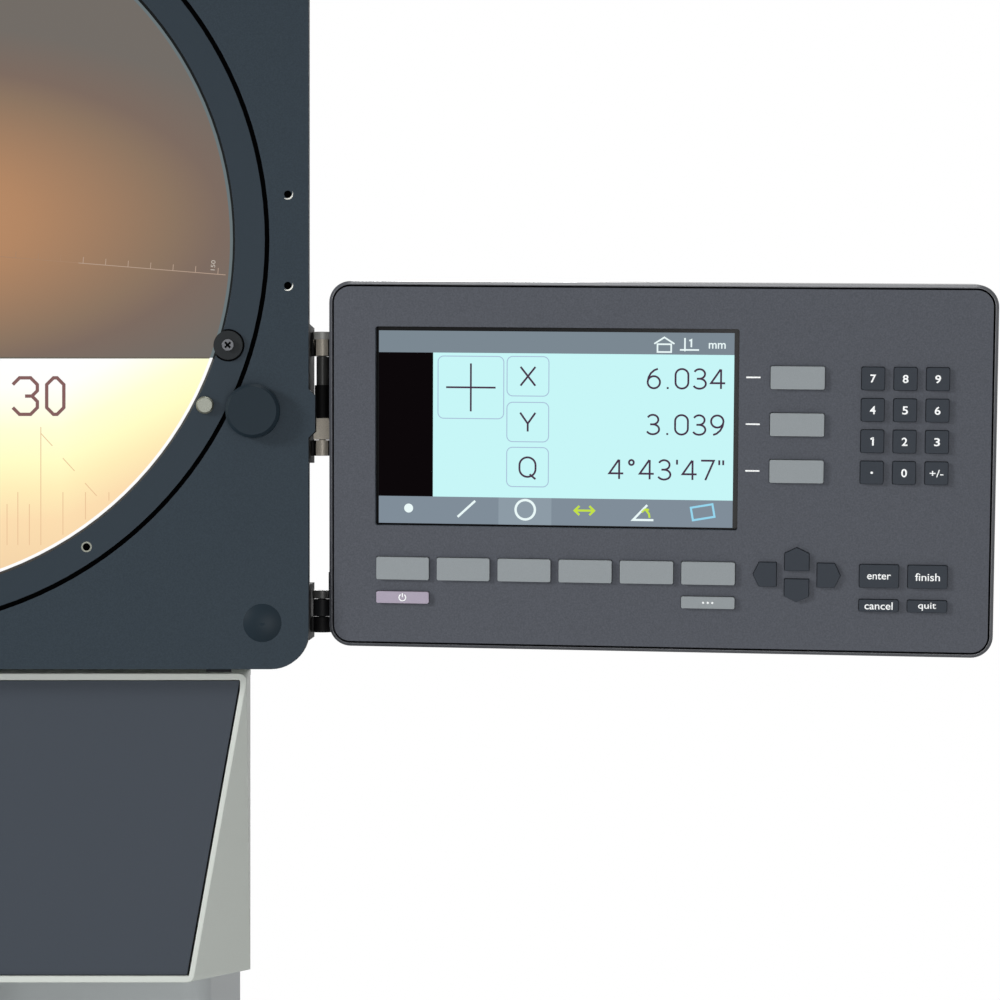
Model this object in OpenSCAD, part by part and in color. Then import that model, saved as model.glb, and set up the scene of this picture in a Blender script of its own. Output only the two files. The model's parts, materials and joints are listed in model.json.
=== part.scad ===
// Optical comparator with a hinged digital readout, a bench machine with a vertical light path
// Millimetres, Z up, front towards -Y, origin on the bench between the four holes under the base

/* [Screen] */
// Height of the screen centre above the bench
screen_height = 800; // [790:1:860]
// Visible diameter of the screen glass
screen_d = 312.4; // [300:0.2:314]
// Width of the turning ring's face
ring_band = 14.4; // [13.4:0.1:16]
// Width of the groove around the ring
ring_groove = 2.1; // [1.5:0.1:2.6]
// Width of the plate outside the groove, at the middle of a side
plate_band = 17.3; // [16:0.1:22]
// Thickness of the screen plate
plate_t = 8; // [6:0.5:10]
// Radius of the plate's corners
plate_corner_r = 16.5; // [10:0.5:20]
// Thickness of the screen glass
glass_t = 5; // [4:0.5:6]
// Diameter of a chart clip
clip_d = 12.9; // [11:0.1:14]
// Diameter of the screen rotation knob
rotation_knob_d = 23.8; // [18:0.1:26]
// Diameter of a domed cap on the plate
cap_d = 17; // [14:0.5:18]
// Diameter of the hood and chart holes
small_hole_d = 3.3; // [2.5:0.1:4]

/* [Head] */
// Distance from the origin to the front of the screen plate
front_reach = 200; // [196:1:215]
// Depth of the head behind the plate
head_depth = 440; // [425:1:460]
// Depth of the straight front part of the head
head_front_d = 75; // [65:1:110]
// Width of the head at its back
head_back_w = 316; // [300:1:330]
// Height of the head at its back
head_back_h = 300; // [295:1:330]
// Wall of the head
head_wall = 4; // [3:0.5:6]

/* [Lens shroud] */
// Width of the shroud at its top front edge
shroud_w = 323; // [310:1:340]
// Height of the shroud's front
shroud_h = 138; // [125:1:145]
// How far each side comes in for every millimetre downwards
shroud_taper = 0.169; // [0.1:0.001:0.2]
// Width of the shroud behind its flared front
shroud_flank_w = 320; // [310:1:330]
// Width of the shroud where it meets the column
shroud_back_w = 276; // [256:1:300]
// Wall of the shroud and width of its rim
shroud_rim = 2.9; // [2:0.1:4]
// Outer diameter of the projection lens barrel
lens_d = 64; // [56:1:70]

/* [Stand] */
// Width of the base
base_w = 380; // [370:1:420]
// Depth of the base
base_d = 510; // [500:1:560]
// Height of the base
base_h = 115; // [105:1:120]
// Spacing of the holes under the base, across
bolt_spacing_x = 300; // [280:1:310]
// Spacing of the holes under the base, front to back
bolt_spacing_y = 420; // [400:1:430]
// Diameter of the holes under the base
bolt_hole_d = 8.5; // [6.8:0.1:10.2]
// Width of the column
column_w = 244; // [236:1:252]
// Depth of the column
column_d = 200; // [190:1:204]

/* [Stage] */
// Distance from the origin to the lens axis, towards the front
lens_reach = 80; // [76:1:84]
// Height of the knee's underside above the bench
knee_height = 205; // [204:1:212]
// Thickness of the knee's shelf
knee_t = 35; // [32:0.5:40]
// Thickness of each slide
slide_t = 22; // [20:0.5:26]
// Length of the stage, left to right
stage_w = 252; // [230:1:256]
// Depth of the stage, front to back
stage_d = 116; // [114:1:116]
// Diameter of the light opening through the stage
light_hole_d = 88; // [80:1:88]
// Thickness of the stage glass
stage_glass_t = 6; // [4:0.5:8]
// Diameter of the stage handwheels
handwheel_d = 56; // [44:1:60]
// Diameter of the focus handwheel
focus_wheel_d = 76; // [60:1:90]

/* [Readout] */
// Width of the readout
readout_w = 292; // [286:1:300]
// Height of the readout
readout_h = 162; // [156:1:170]
// Depth of the readout case
readout_t = 46; // [40:1:48]
// Radius of the readout's corners
readout_corner_r = 9.5; // [8:0.5:12]
// Width of the case's bevelled rim
readout_rim = 1.5; // [1.2:0.1:2.4]
// Width of the dark seam between rim and panel
readout_seam = 0.8; // [0.6:0.1:1.6]
// Thickness of the front panel
panel_t = 3; // [2:0.5:4]
// Width of the display window
window_w = 160; // [150:1:162]
// Height of the display window
window_h = 88; // [80:1:90]
// How far the keys stand out of the panel
key_proud = 1.6; // [1.4:0.1:2.2]
// Gap around a key in its hole
key_gap = 0.2; // [0.2:0.05:0.4]

/* [Readout mount] */
// How far the readout's right end is swung towards the front, in degrees
pan = 6.1; // [0:0.1:10]
// How far the readout's top leans towards the front, in degrees
tilt = 5; // [0:0.1:8]
// How far the readout's right end hangs down, in degrees
sag = 0.8; // [0:0.05:1]
// Height of the readout's tilt axis below the screen centre
readout_drop = 96.8; // [90:0.1:100]
// Diameter of the hinge pins
hinge_pin_d = 3; // [2.6:0.1:3.4]
// Diameter of the hinge barrel
knuckle_d = 5.4; // [5:0.1:6]

/* [Hidden] */
$fn = 48;
// Gap between pieces that slide or turn past each other
slide_gap = 0.3;
// Radial gap of a pin or shaft in its bore
run_gap = 0.05;
// Extra length of a cut, so that it passes right through
cut = 1;

// Screen, as radii about the screen axis and depths behind the plate's front
front_y = -front_reach;
screen_r = screen_d / 2;
ring_r = screen_r + ring_band;
plate_hole_r = ring_r + ring_groove;
plate_half = plate_hole_r + plate_band;
ring_front = 0.6;
ring_bevel = 1.2;
glass_recess = 2.9;
glass_front = ring_front + glass_recess;
glass_lap = 2;
glass_r = screen_r + glass_lap;
lip_lap = 3.8;
lip_r = plate_hole_r + lip_lap;
lip_gap = 0.4;
lip_front = plate_t + lip_gap;
lip_t = 5.6;
roller_r = 5.3;
roller_t = 5;
knob_pos_r = lip_r + roller_r + slide_gap;
knob_angle = 24.6;
knob_h = 6.5;
knob_bevel = 1.3;
knob_gap = 0.5;
knob_shaft_r = 3;
clip_in = 5.1;
clip_pos_r = screen_r + clip_in;
clip_angles = [for (i = [0:3]) 16.8 + 90 * i];
clip_pocket = 1;
clip_pocket_gap = 0.7;
clip_t = 2.5;
clip_screw_r = 1.5;
clip_screw_head_r = 2.6;
clip_screw_head_t = 1.6;
clip_slot_l = 3.4;
clip_slot_w = 0.9;
clip_slot_depth = 0.9;
peg_r = 3.9;
peg_h = 2.6;
peg_bevel = 0.7;
peg_shank_r = 2;
peg_shank_l = 4;
peg_in = 5.5;
peg_pos_r = screen_r + peg_in;
peg_angle = 26.9;
chart_hole_in = 7.7;
chart_hole_pos_r = screen_r + chart_hole_in;
chart_hole_angle = 56;
chart_hole_depth = 5;
hood_hole_in = 9.2;
hood_hole_x = plate_half - hood_hole_in;
hood_hole_z = 20.2;
cap_in = 20.5;
cap_pos = plate_half - cap_in;
cap_h = 1.8;
cap_plug_r = 4;
cap_plug_l = 5;
bulge_out = 2.9;
bulge_top = -66;
bulge_bottom = -87.6;
tab_x = 149.9;
tab_w = 11;
tab_h = 1.4;
plate_bottom_z = screen_height - plate_half;

// Head
head_in = 7;
head_half = plate_half - head_in;
head_front_y = front_y + plate_t;
head_back_y = head_front_y + head_depth;
head_floor_z = screen_height - head_half;
head_corner_r = 12;
head_flange_t = 7;
floor_opening_d = 140;
floor_opening_front = 60;

// Lens shroud
lens_y = -lens_reach;
throat_d = 120;
column_front_y = lens_y + throat_d;
column_back_y = column_front_y + column_d;
shroud_set_back = 12;
shroud_front_y = front_y + shroud_set_back;
shroud_flare_d = 38;
shroud_flank_y = shroud_front_y + shroud_flare_d;
shroud_gap = 2.6;
shroud_top_z = plate_bottom_z - shroud_gap;
shroud_bottom_z = shroud_top_z - shroud_h;
shroud_corner_r = 3.5;
shroud_corner_min = 0.5;
shroud_panel_recess = 1.2;
shroud_panel_t = 3;
shroud_panel_gap = 0.4;
shroud_ledge = 6;
lens_bore_r = 20;
lens_nose_l = 85;
lens_nose_z = shroud_bottom_z - lens_nose_l;
lens_nose_wall = 4;
lens_nose_h = 14;
lens_cone_h = 18;
lens_inner_l = 50;
lens_top_z = shroud_bottom_z + lens_inner_l;
lens_flange_t = 8;
lens_flange_out = 14;
front_glass_in = 3;
front_glass_t = 8;
rear_glass_in = 4;
rear_glass_t = 6;

// Fold mirrors, each leaning by half of the turn that it gives to the light
mirror_half_w = 50;
first_mirror_drop = 16;
first_mirror_z = head_floor_z - first_mirror_drop;
first_mirror_l = 140;
first_mirror_t = 6;
back_mirror_in = 58;
back_mirror_y = head_back_y - back_mirror_in;
back_mirror_w = 200;
back_mirror_h = 220;
back_mirror_t = 8;
light_climb = atan2(screen_height - first_mirror_z, back_mirror_y - lens_y);
first_mirror_lean = 45 - light_climb / 2;
back_mirror_lean = light_climb / 2;
mirror_gap = 0.1;
rib_x = 70;
rib_t = 8;
rib_h = 180;
rib_reach = 60;
cheek_t = 5;
cheek_h = 46;
cheek_d = 90;

// Stand
base_foot_h = 6;
base_foot_r = 24;
base_corner_r = 30;
base_bevel = 12;
base_wall = 12;
bolt_depth = 28;
column_wall = 12;
column_corner_r = 14;
way_stem_w = 90;
way_head_w = 120;
way_stem_d = 12;
way_head_d = 12;
way_up = 8;
way_z = base_h + way_up;
way_l = 280;
focus_back = 100;
focus_y = column_front_y + focus_back;
focus_up = 115;
focus_z = base_h + focus_up;
focus_boss_r = 20;
focus_boss_l = 12;
focus_shaft_r = 6;
focus_shaft_l = 20;
inlet_w = 28;
inlet_h = 20;
inlet_d = 9;
inlet_x = 60;
inlet_up = 40;
inlet_z = base_h + inlet_up;
inlet_wall = 2.5;
inlet_flange_t = 3;
inlet_flange_out = [11, 4];
inlet_corner_r = 3;
inlet_pin = [2, 4];
inlet_pin_in = 3;
inlet_pin_x = 7;
inlet_pin_z = 2;

// Lamp house
lamp_flange_r = 62;
lamp_body_r = 38;
lamp_fin_r = 50;
lamp_h = 62;
lamp_bore_r = 28;
lamp_fins = 4;
lamp_fin_t = 3;
lamp_fin_pitch = 8;
lamp_flange_t = 6;
lamp_collar_h = 14;
lamp_collar_out = 4;
condenser_in = 10;
condenser_h = 7;

// Stage
knee_half = 100;
shelf_out = 27;
shelf_front_y = lens_y - stage_d / 2 - shelf_out;
gusset_t = 12;
gusset_reach = 50;
saddle_wall = 10;
saddle_front_y = column_front_y - way_stem_d - way_head_d - saddle_wall;
saddle_drop = 45;
saddle_rise = 85;
light_r = light_hole_d / 2;
y_rail_x = 70;
y_rail_w = 14;
rail_h = 8;
x_rail_w = 8;
x_rail_in = 1.5;
x_rail_off = stage_d / 2 - x_rail_in - x_rail_w / 2;
y_slide_z = knee_height + knee_t + slide_gap;
x_slide_z = y_slide_z + slide_t + slide_gap;
x_slide_extra = 6;
x_slide_t = slide_t + x_slide_extra;
stage_top_z = x_slide_z + x_slide_t;
stage_corner_r = 6;
x_travel = 50;
x_arm_room = 4;
x_arm_end = stage_w / 2 + x_travel + x_arm_room;
x_arm_w = 28;
x_arm_h = 20;
wheel_t = 18;
wheel_gap = 2;
wheel_rim = 5;
wheel_web = [4, 10];
wheel_edge = 3;
wheel_hub_out = 6;
grip_r = 5;
grip_z = 9;
grip_l = 30;
shaft_r = 5;
x_shaft_in = 8;
x_shaft_l = x_arm_end - y_rail_x - y_rail_w / 2 - x_shaft_in;
y_shaft_l = 26;
stage_glass_lap = 3;
stage_glass_r = light_r + stage_glass_lap;
stage_lip = 4;
fixture_hole_r = 2.5;
fixture_x = 100;
fixture_y = 40;
fixture_depth = 12;

// Readout, in its own frame: x to the right, y into the case, z up, from the middle of its front
boss_r = 6;
axis_depth = readout_t + boss_r;
rim_flat = 0.3;
rim_bevel = readout_rim - rim_flat;
panel_edge = readout_rim + readout_seam;
panel_lap = 4;
ledge_w = panel_edge + panel_lap;
panel_w = readout_w - 2 * panel_edge;
panel_h = readout_h - 2 * panel_edge;
panel_corner_r = readout_corner_r - panel_edge;
case_step_y = 30;
case_step_in = 4;
case_back_t = 3;
case_inner_r = 4;
vent = [40, 2.5];
vent_u = 70;
vent_v = 45;
vent_pitch = 6;
window_left = 20.7;
window_top = 19.8;
window_corner_r = 1;
window_u = window_left + (window_w - readout_w) / 2;
window_v = (readout_h - window_h) / 2 - window_top;
window_right_u = window_u + window_w / 2;
lcd_gap = 2.2;
lcd_front = panel_t + lcd_gap;
lcd_margin = 4;
board_y = 14;
board_t = 1.6;
board_in = 4;
post_r = 4.5;
post_in = 18;
boss_half = 18;
tilt_pin_r = 3;

// Keys: name, place across, place up, width, height, and which way a pointed key points
wide_key = [23.4, 10];
thin_key = [23.4, 5.2];
square_key = [9.8, 9.8];
word_key = [16.9, 10];
thin_word_key = [17, 5.2];
arrow_key = [10.5, 10];
soft_in = 0.8;
soft_u = window_right_u - window_w + soft_in + wide_key.x / 2;
soft_pitch = (window_w - 2 * soft_in - wide_key.x) / 5;
low_row_drop = 13.9;
low_row_v = window_v - window_h / 2 - low_row_drop - wide_key.y / 2;
thin_row_drop = 12.9;
thin_row_v = low_row_v - thin_row_drop;
top_row_drop = 20.9;
top_row_v = window_v + window_h / 2 - top_row_drop;
axis_space = 13.7;
axis_u = window_right_u + axis_space + wide_key.x / 2;
axis_pitch = 20.4;
pad_space = 15.9;
pad_u = axis_u + pad_space + (wide_key.x + square_key.x) / 2;
pad_pitch = [13.9, 13.6];
arrow_space = 7.2;
arrow_step = [13.9, 6.9];
arrow_u = window_right_u + arrow_space + arrow_key.y / 2 + arrow_step.x;
word_space = 8.3;
word_u = arrow_u + arrow_step.x + word_space + (arrow_key.y + word_key.x) / 2;
word_pitch = 20.9;
pad_names = ["7", "8", "9", "4", "5", "6", "1", "2", "3", "point", "0", "sign"];
axis_names = ["x", "y", "q"];
keys = concat(
    [for (i = [0:5]) [str("key_soft_", i + 1), soft_u + i * soft_pitch, low_row_v, wide_key]],
    [["key_power", soft_u, thin_row_v, thin_key],
     ["key_menu", soft_u + 5 * soft_pitch, thin_row_v, thin_key]],
    [for (i = [0:2]) [str("key_axis_", axis_names[i]), axis_u, top_row_v - i * axis_pitch, wide_key]],
    [for (i = [0:11]) [str("key_", pad_names[i]), pad_u + (i % 3) * pad_pitch.x,
                       top_row_v - floor(i / 3) * pad_pitch.y, square_key]],
    [["key_right", arrow_u + arrow_step.x, low_row_v, arrow_key, 0],
     ["key_up", arrow_u, low_row_v + arrow_step.y, arrow_key, 90],
     ["key_left", arrow_u - arrow_step.x, low_row_v, arrow_key, 180],
     ["key_down", arrow_u, low_row_v - arrow_step.y, arrow_key, 270]],
    [["key_enter", word_u, low_row_v, word_key],
     ["key_finish", word_u + word_pitch, low_row_v, word_key],
     ["key_cancel", word_u, thin_row_v, thin_word_key],
     ["key_quit", word_u + word_pitch, thin_row_v, thin_word_key]]);
key_corner_r = 0.8;
key_flange = 1.2;
key_flange_t = 1.5;
key_stem_r = 1.8;
key_travel_room = 2.4;

// Readout mount, from the upright hinge axis
hinge_out = 4.2;
hinge_x = plate_half + hinge_out;
hinge_back = 32;
hinge_y = front_y + hinge_back;
hinge_r = hinge_pin_d / 2;
knuckle_r = knuckle_d / 2;
bracket_t = 6.2;
bracket_front = 14;
bracket_d = 36;
bracket_over = 3;
lug_r = 3.8;
lug_web_y = 1;
lug_cap_t = 3.4;
lug_cap_out = 0.4;
upper_hinge_down = 39;
upper_hinge_h = 56;
upper_hinge_top = screen_height - upper_hinge_down;
upper_lug_t = 10.8;
upper_hinge_bottom = upper_hinge_top - upper_hinge_h;
lower_lug_t = 7;
foot_hinge_down = 156;
foot_hinge_h = 19;
foot_hinge_top = screen_height - foot_hinge_down;
foot_hinge_bottom = foot_hinge_top - foot_hinge_h;
foot_lug_t = 7;
foot_plate_t = 3.7;
foot_knuckle_r = 4.5;
foot_arm_h = 12;
friction_nut_r = 4.2;
case_side_x = 8;
arm_x = 3.4;
arm_t = 2.6;
arm_front_y = -3.5;
leaf_t = 2;
block_h = 9.6;
collar_r = 3.5;
collar_h = 15;
back_plate_y = 45;
back_plate_t = 4;
back_strip_w = 23;
back_strip_half = 22;
tilt_x = case_side_x + readout_w / 2;
tilt_back = 30.3;
tilt_y = axis_depth - tilt_back;
tilt_z = screen_height - readout_drop;
ear_t = 4;

// A flat rectangle with round corners, centred
module rounded_rect(w, h, r) {
    square([w - 2 * r, h], center = true);
    square([w, h - 2 * r], center = true);
    for (x = [-1, 1], y = [-1, 1])
        translate([x * (w / 2 - r), y * (h / 2 - r)])
            circle(r);
}

// A flat shape stood up in the X-Z plane and made thick backwards from y
module slab(y, t) {
    translate([0, y + t, 0])
        rotate([90, 0, 0])
            linear_extrude(t)
                children();
}

// Round pieces about an axis to the back or to the right
module along_y(x, y, z) {
    translate([x, y, z])
        rotate([-90, 0, 0])
            children();
}

module along_x(x, y, z) {
    translate([x, y, z])
        rotate([0, 90, 0])
            children();
}

// The screen's own frames: flat shapes about its centre, and round ones behind the plate's front
module at_screen() {
    translate([0, 0, screen_height])
        children();
}

module on_screen() {
    along_y(0, front_y, screen_height)
        children();
}

// A place on the screen at radius r, turned down by angle a from the right
module on_circle(r, a) {
    on_screen()
        rotate(a)
            translate([r, 0, 0])
                children();
}

// A domed disc that lies on z = 0
module dome(r, h) {
    ball_r = (r * r + h * h) / (2 * h);
    intersection() {
        translate([0, 0, h - ball_r])
            sphere(ball_r);
        cylinder(r = r, h = h);
    }
}

module plate_outline() {
    rounded_rect(2 * plate_half, 2 * plate_half, plate_corner_r);
    polygon([
        [plate_half - cut, bulge_top],
        [plate_half, bulge_top],
        [plate_half + bulge_out, bulge_top - bulge_out],
        [plate_half + bulge_out, bulge_bottom + bulge_out],
        [plate_half, bulge_bottom],
        [plate_half - cut, bulge_bottom]
    ]);
}

module screen_plate() {
    color("#39444c")
    difference() {
        at_screen() {
            slab(front_y, plate_t)
                plate_outline();
            for (s = [-1, 1])
                translate([s * tab_x, 0, -plate_half])
                    slab(front_y + plate_t / 2, plate_t / 2)
                        square([tab_w, 2 * tab_h], center = true);
        }
        on_screen()
            translate([0, 0, -cut])
                cylinder(r = plate_hole_r, h = plate_t + 2 * cut, $fn = 180);
        on_circle(knob_pos_r, knob_angle)
            translate([0, 0, -cut])
                cylinder(r = knob_shaft_r + slide_gap, h = plate_t + 2 * cut);
        for (x = [-1, 1], z = [-1, 1]) {
            along_y(x * cap_pos, front_y - cut, screen_height + z * cap_pos)
                cylinder(r = cap_plug_r + run_gap, h = cap_plug_l + cut);
            along_y(x * hood_hole_x, front_y - cut, screen_height + z * hood_hole_z)
                cylinder(d = small_hole_d, h = plate_t + 2 * cut);
        }
    }
}

module plate_caps() {
    color("#39444c")
    for (x = [-1, 1], z = [-1, 1])
        along_y(x * cap_pos, front_y, screen_height + z * cap_pos) {
            mirror([0, 0, 1])
                dome(cap_d / 2, cap_h);
            cylinder(r = cap_plug_r, h = cap_plug_l - run_gap);
        }
}

// Turned ring with a rebate for the glass and a driven lip behind the plate
module screen_ring() {
    ring_back = lip_front + lip_t;
    pocket_r = glass_r + slide_gap;
    color("#333d45")
    difference() {
        on_screen()
            rotate_extrude($fn = 180)
                polygon([
                    [screen_r + ring_bevel, ring_front],
                    [ring_r, ring_front],
                    [ring_r, lip_front],
                    [lip_r, lip_front],
                    [lip_r, ring_back],
                    [pocket_r, ring_back],
                    [pocket_r, glass_front],
                    [screen_r, glass_front]
                ]);
        for (a = clip_angles)
            on_circle(clip_pos_r, a) {
                cylinder(r = clip_d / 2 + clip_pocket_gap, h = ring_front + clip_pocket);
                cylinder(r = clip_screw_r, h = lip_front);
            }
        on_circle(peg_pos_r, peg_angle)
            cylinder(r = peg_shank_r, h = lip_front);
        on_circle(chart_hole_pos_r, chart_hole_angle)
            cylinder(d = small_hole_d, h = ring_front + chart_hole_depth);
    }
}

module screen_glass() {
    color("#e9e2d0", 0.9)
    on_screen()
        translate([0, 0, glass_front])
            cylinder(r = glass_r, h = glass_t, $fn = 180);
}

module chart_clips() {
    clip_back = ring_front + clip_pocket;
    color("#17181a")
    for (a = clip_angles)
        on_circle(clip_pos_r, a)
            translate([0, 0, clip_back - clip_t])
                difference() {
                    cylinder(d = clip_d, h = clip_t);
                    translate([0, 0, -cut])
                        cylinder(r = clip_screw_r, h = clip_t + 2 * cut);
                }
}

// Cross-slotted clip screws and the bright locating peg
module ring_screws() {
    screw_end = lip_front - cut;
    clip_front = ring_front + clip_pocket - clip_t;
    color("#9a9da0") {
        for (a = clip_angles)
            on_circle(clip_pos_r, a)
                difference() {
                    union() {
                        translate([0, 0, clip_front - clip_screw_head_t])
                            cylinder(r = clip_screw_head_r, h = clip_screw_head_t);
                        translate([0, 0, clip_front - cut / 2])
                            cylinder(r = clip_screw_r - run_gap, h = screw_end - clip_front);
                    }
                    for (turn = [30, 120])
                        translate([0, 0, clip_front - clip_screw_head_t])
                            rotate(turn)
                                cube([clip_slot_l, clip_slot_w, 2 * clip_slot_depth], center = true);
                }
        on_circle(peg_pos_r, peg_angle) {
            rotate_extrude()
                polygon([
                    [0, ring_front],
                    [peg_r, ring_front],
                    [peg_r, ring_front - peg_h + peg_bevel],
                    [peg_r - peg_bevel, ring_front - peg_h],
                    [0, ring_front - peg_h]
                ]);
            translate([0, 0, ring_front - run_gap])
                cylinder(r = peg_shank_r - run_gap, h = peg_shank_l);
        }
    }
}

// Knob in front of the plate with the roller that drives the ring's lip behind it
module rotation_knob() {
    knob_r = rotation_knob_d / 2;
    knob_back = -knob_gap;
    color("#39444c")
    on_circle(knob_pos_r, knob_angle) {
        rotate_extrude()
            polygon([
                [0, knob_back],
                [knob_r, knob_back],
                [knob_r, knob_back - knob_h + knob_bevel],
                [knob_r - knob_bevel, knob_back - knob_h],
                [0, knob_back - knob_h]
            ]);
        translate([0, 0, knob_back - cut])
            cylinder(r = knob_shaft_r, h = lip_front + roller_t + cut);
        translate([0, 0, lip_front + slide_gap])
            cylinder(r = roller_r, h = roller_t);
    }
}

// The head's outer form, or its inside when drawn in by a wall, from y to its back
module head_form(wall, y) {
    half = head_half - wall;
    back_h = head_back_h - 2 * wall;
    corner_r = head_corner_r - wall;
    hull() {
        slab(y, head_front_y + head_front_d - y)
            rounded_rect(2 * half, 2 * half, corner_r, $fn = 32);
        translate([0, 0, back_h / 2 - half])
            slab(head_back_y - wall - cut, cut)
                rounded_rect(head_back_w - 2 * wall, back_h, corner_r, $fn = 32);
    }
}

// Two ribs on the back wall that carry the large mirror
module mirror_ribs() {
    intersection() {
        for (s = [-1, 1])
            translate([s * rib_x - rib_t / 2, back_mirror_y - rib_reach, screen_height - rib_h / 2])
                cube([rib_t, head_back_y - back_mirror_y + rib_reach - head_wall / 2, rib_h]);
        translate([0, back_mirror_y, screen_height])
            rotate([back_mirror_lean, 0, 0])
                translate([-back_mirror_w / 2, back_mirror_t, -back_mirror_h])
                    cube([back_mirror_w, back_mirror_h, 2 * back_mirror_h]);
    }
}

// Two cheeks beside the light opening that hold the first mirror
module mirror_cheeks() {
    for (s = [0, 1])
        mirror([s, 0, 0])
            translate([mirror_half_w, lens_y - cheek_d / 3, head_floor_z + head_wall / 2])
                cube([cheek_t, cheek_d, cheek_h]);
}

module head_housing() {
    color("#cfd3d4") {
        difference() {
            at_screen()
                head_form(0, head_front_y);
            at_screen()
                head_form(head_wall, head_front_y + head_flange_t);
            on_screen()
                translate([0, 0, plate_t - cut])
                    cylinder(r = lip_r + slide_gap, h = head_flange_t + 2 * cut, $fn = 180);
            on_circle(knob_pos_r, knob_angle)
                translate([0, 0, plate_t - cut])
                    cylinder(r = roller_r + 2 * slide_gap, h = head_flange_t + 2 * cut);
            translate([-mirror_half_w, lens_y - floor_opening_front, head_floor_z - cut])
                cube([2 * mirror_half_w, floor_opening_d, head_wall + 2 * cut]);
        }
        mirror_ribs();
        mirror_cheeks();
    }
}

module fold_mirrors() {
    first_w = 2 * (mirror_half_w - mirror_gap);
    color("#b9c4cc") {
        translate([0, lens_y, first_mirror_z])
            rotate([-first_mirror_lean, 0, 0])
                translate([-first_w / 2, -first_mirror_t, -first_mirror_l / 2])
                    cube([first_w, first_mirror_t, first_mirror_l]);
        translate([0, back_mirror_y, screen_height])
            rotate([back_mirror_lean, 0, 0])
                translate([-back_mirror_w / 2, 0, -back_mirror_h / 2])
                    cube([back_mirror_w, back_mirror_t, back_mirror_h]);
    }
}

// The shroud's tapered front outline, drawn in by an inset
module shroud_outline(inset) {
    r = max(shroud_corner_r - inset, shroud_corner_min);
    half = shroud_w / 2 - inset - r;
    low_half = half - shroud_taper * shroud_h;
    hull()
        for (s = [-1, 1]) {
            translate([s * half, shroud_top_z - inset - r])
                circle(r, $fn = 32);
            translate([s * low_half, shroud_bottom_z + inset + r])
                circle(r, $fn = 32);
        }
}

// An upright cross-section of the shroud's box part
module shroud_section(y, w, top, inset) {
    translate([-w / 2 + inset, y, shroud_bottom_z + inset])
        cube([w - 2 * inset, cut, top - shroud_bottom_z - inset]);
}

// The flared front and the box behind it
module shroud_form(inset, y, top, back_y) {
    hull() {
        slab(y, cut)
            shroud_outline(inset);
        shroud_section(shroud_flank_y - cut, shroud_flank_w, shroud_top_z - inset, inset);
    }
    hull() {
        shroud_section(shroud_flank_y - cut, shroud_flank_w, top, inset);
        shroud_section(back_y - cut, shroud_back_w, top, inset);
    }
}

module lens_shroud() {
    ledge_y = shroud_front_y + shroud_panel_recess + shroud_panel_t;
    ledge_l = shroud_w - 2 * shroud_taper * shroud_h - 4 * shroud_ledge;
    color("#d9d6c6") {
        difference() {
            shroud_form(0, shroud_front_y, head_floor_z, column_front_y);
            shroud_form(shroud_rim, shroud_front_y - cut, head_floor_z + cut, column_front_y - shroud_rim);
            translate([0, lens_y, shroud_bottom_z - cut])
                cylinder(d = lens_d + 2 * run_gap, h = shroud_rim + 2 * cut);
        }
        translate([-shroud_flank_w / 2, shroud_flank_y - cut, shroud_top_z - shroud_rim])
            cube([shroud_flank_w, shroud_rim, head_floor_z - shroud_top_z + shroud_rim]);
        for (z = [shroud_bottom_z + shroud_rim / 2, shroud_top_z - shroud_rim / 2 - shroud_ledge])
            translate([-ledge_l / 2, ledge_y, z])
                cube([ledge_l, shroud_ledge, shroud_ledge]);
    }
}

module shroud_panel() {
    color("#33363a")
    slab(shroud_front_y + shroud_panel_recess, shroud_panel_t)
        shroud_outline(shroud_rim + shroud_panel_gap);
}

// Stepped lens barrel with its flange under the shroud and a glass at each end
module projection_lens() {
    barrel_r = lens_d / 2;
    flange_r = barrel_r + lens_flange_out;
    nose_r = lens_bore_r + lens_nose_wall;
    cone_z = lens_nose_z + lens_nose_h;
    flange_z = shroud_bottom_z - lens_flange_t;
    color("#26282b")
    translate([0, lens_y, 0]) {
        rotate_extrude()
            polygon([
                [lens_bore_r, lens_nose_z],
                [nose_r, lens_nose_z],
                [nose_r, cone_z],
                [barrel_r, cone_z + lens_cone_h],
                [barrel_r, flange_z],
                [flange_r, flange_z],
                [flange_r, shroud_bottom_z],
                [barrel_r, shroud_bottom_z],
                [barrel_r, lens_top_z],
                [lens_bore_r, lens_top_z]
            ]);
        translate([0, 0, lens_nose_z + front_glass_in])
            cylinder(r = lens_bore_r, h = front_glass_t);
        translate([0, 0, lens_top_z - rear_glass_in - rear_glass_t])
            cylinder(r = lens_bore_r, h = rear_glass_t);
    }
}

// The four places of the holes under the base
module at_bolts() {
    for (x = [-1, 1], y = [-1, 1])
        translate([x * bolt_spacing_x / 2, y * bolt_spacing_y / 2, 0])
            children();
}

// Hollow casting with bevelled top, foot pads and tapped holes
module base_casting() {
    void_w = base_w - 2 * base_wall - 2 * base_bevel;
    void_d = base_d - 2 * base_wall - 2 * base_bevel;
    color("#c3c8ca")
    difference() {
        union() {
            hull() {
                translate([0, 0, base_foot_h])
                    linear_extrude(base_h - base_foot_h - base_bevel)
                        rounded_rect(base_w, base_d, base_corner_r, $fn = 32);
                translate([0, 0, base_h - cut])
                    linear_extrude(cut)
                        rounded_rect(base_w - 2 * base_bevel, base_d - 2 * base_bevel,
                                     base_corner_r - base_bevel, $fn = 32);
            }
            at_bolts()
                cylinder(r = base_foot_r, h = base_foot_h + cut);
        }
        difference() {
            translate([-void_w / 2, -void_d / 2, base_foot_h + base_wall])
                cube([void_w, void_d, base_h - base_foot_h - 2 * base_wall]);
            at_bolts()
                cylinder(r = base_foot_r, h = base_h);
        }
        at_bolts()
            translate([0, 0, -cut])
                cylinder(d = bolt_hole_d, h = bolt_depth + cut);
    }
}

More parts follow.
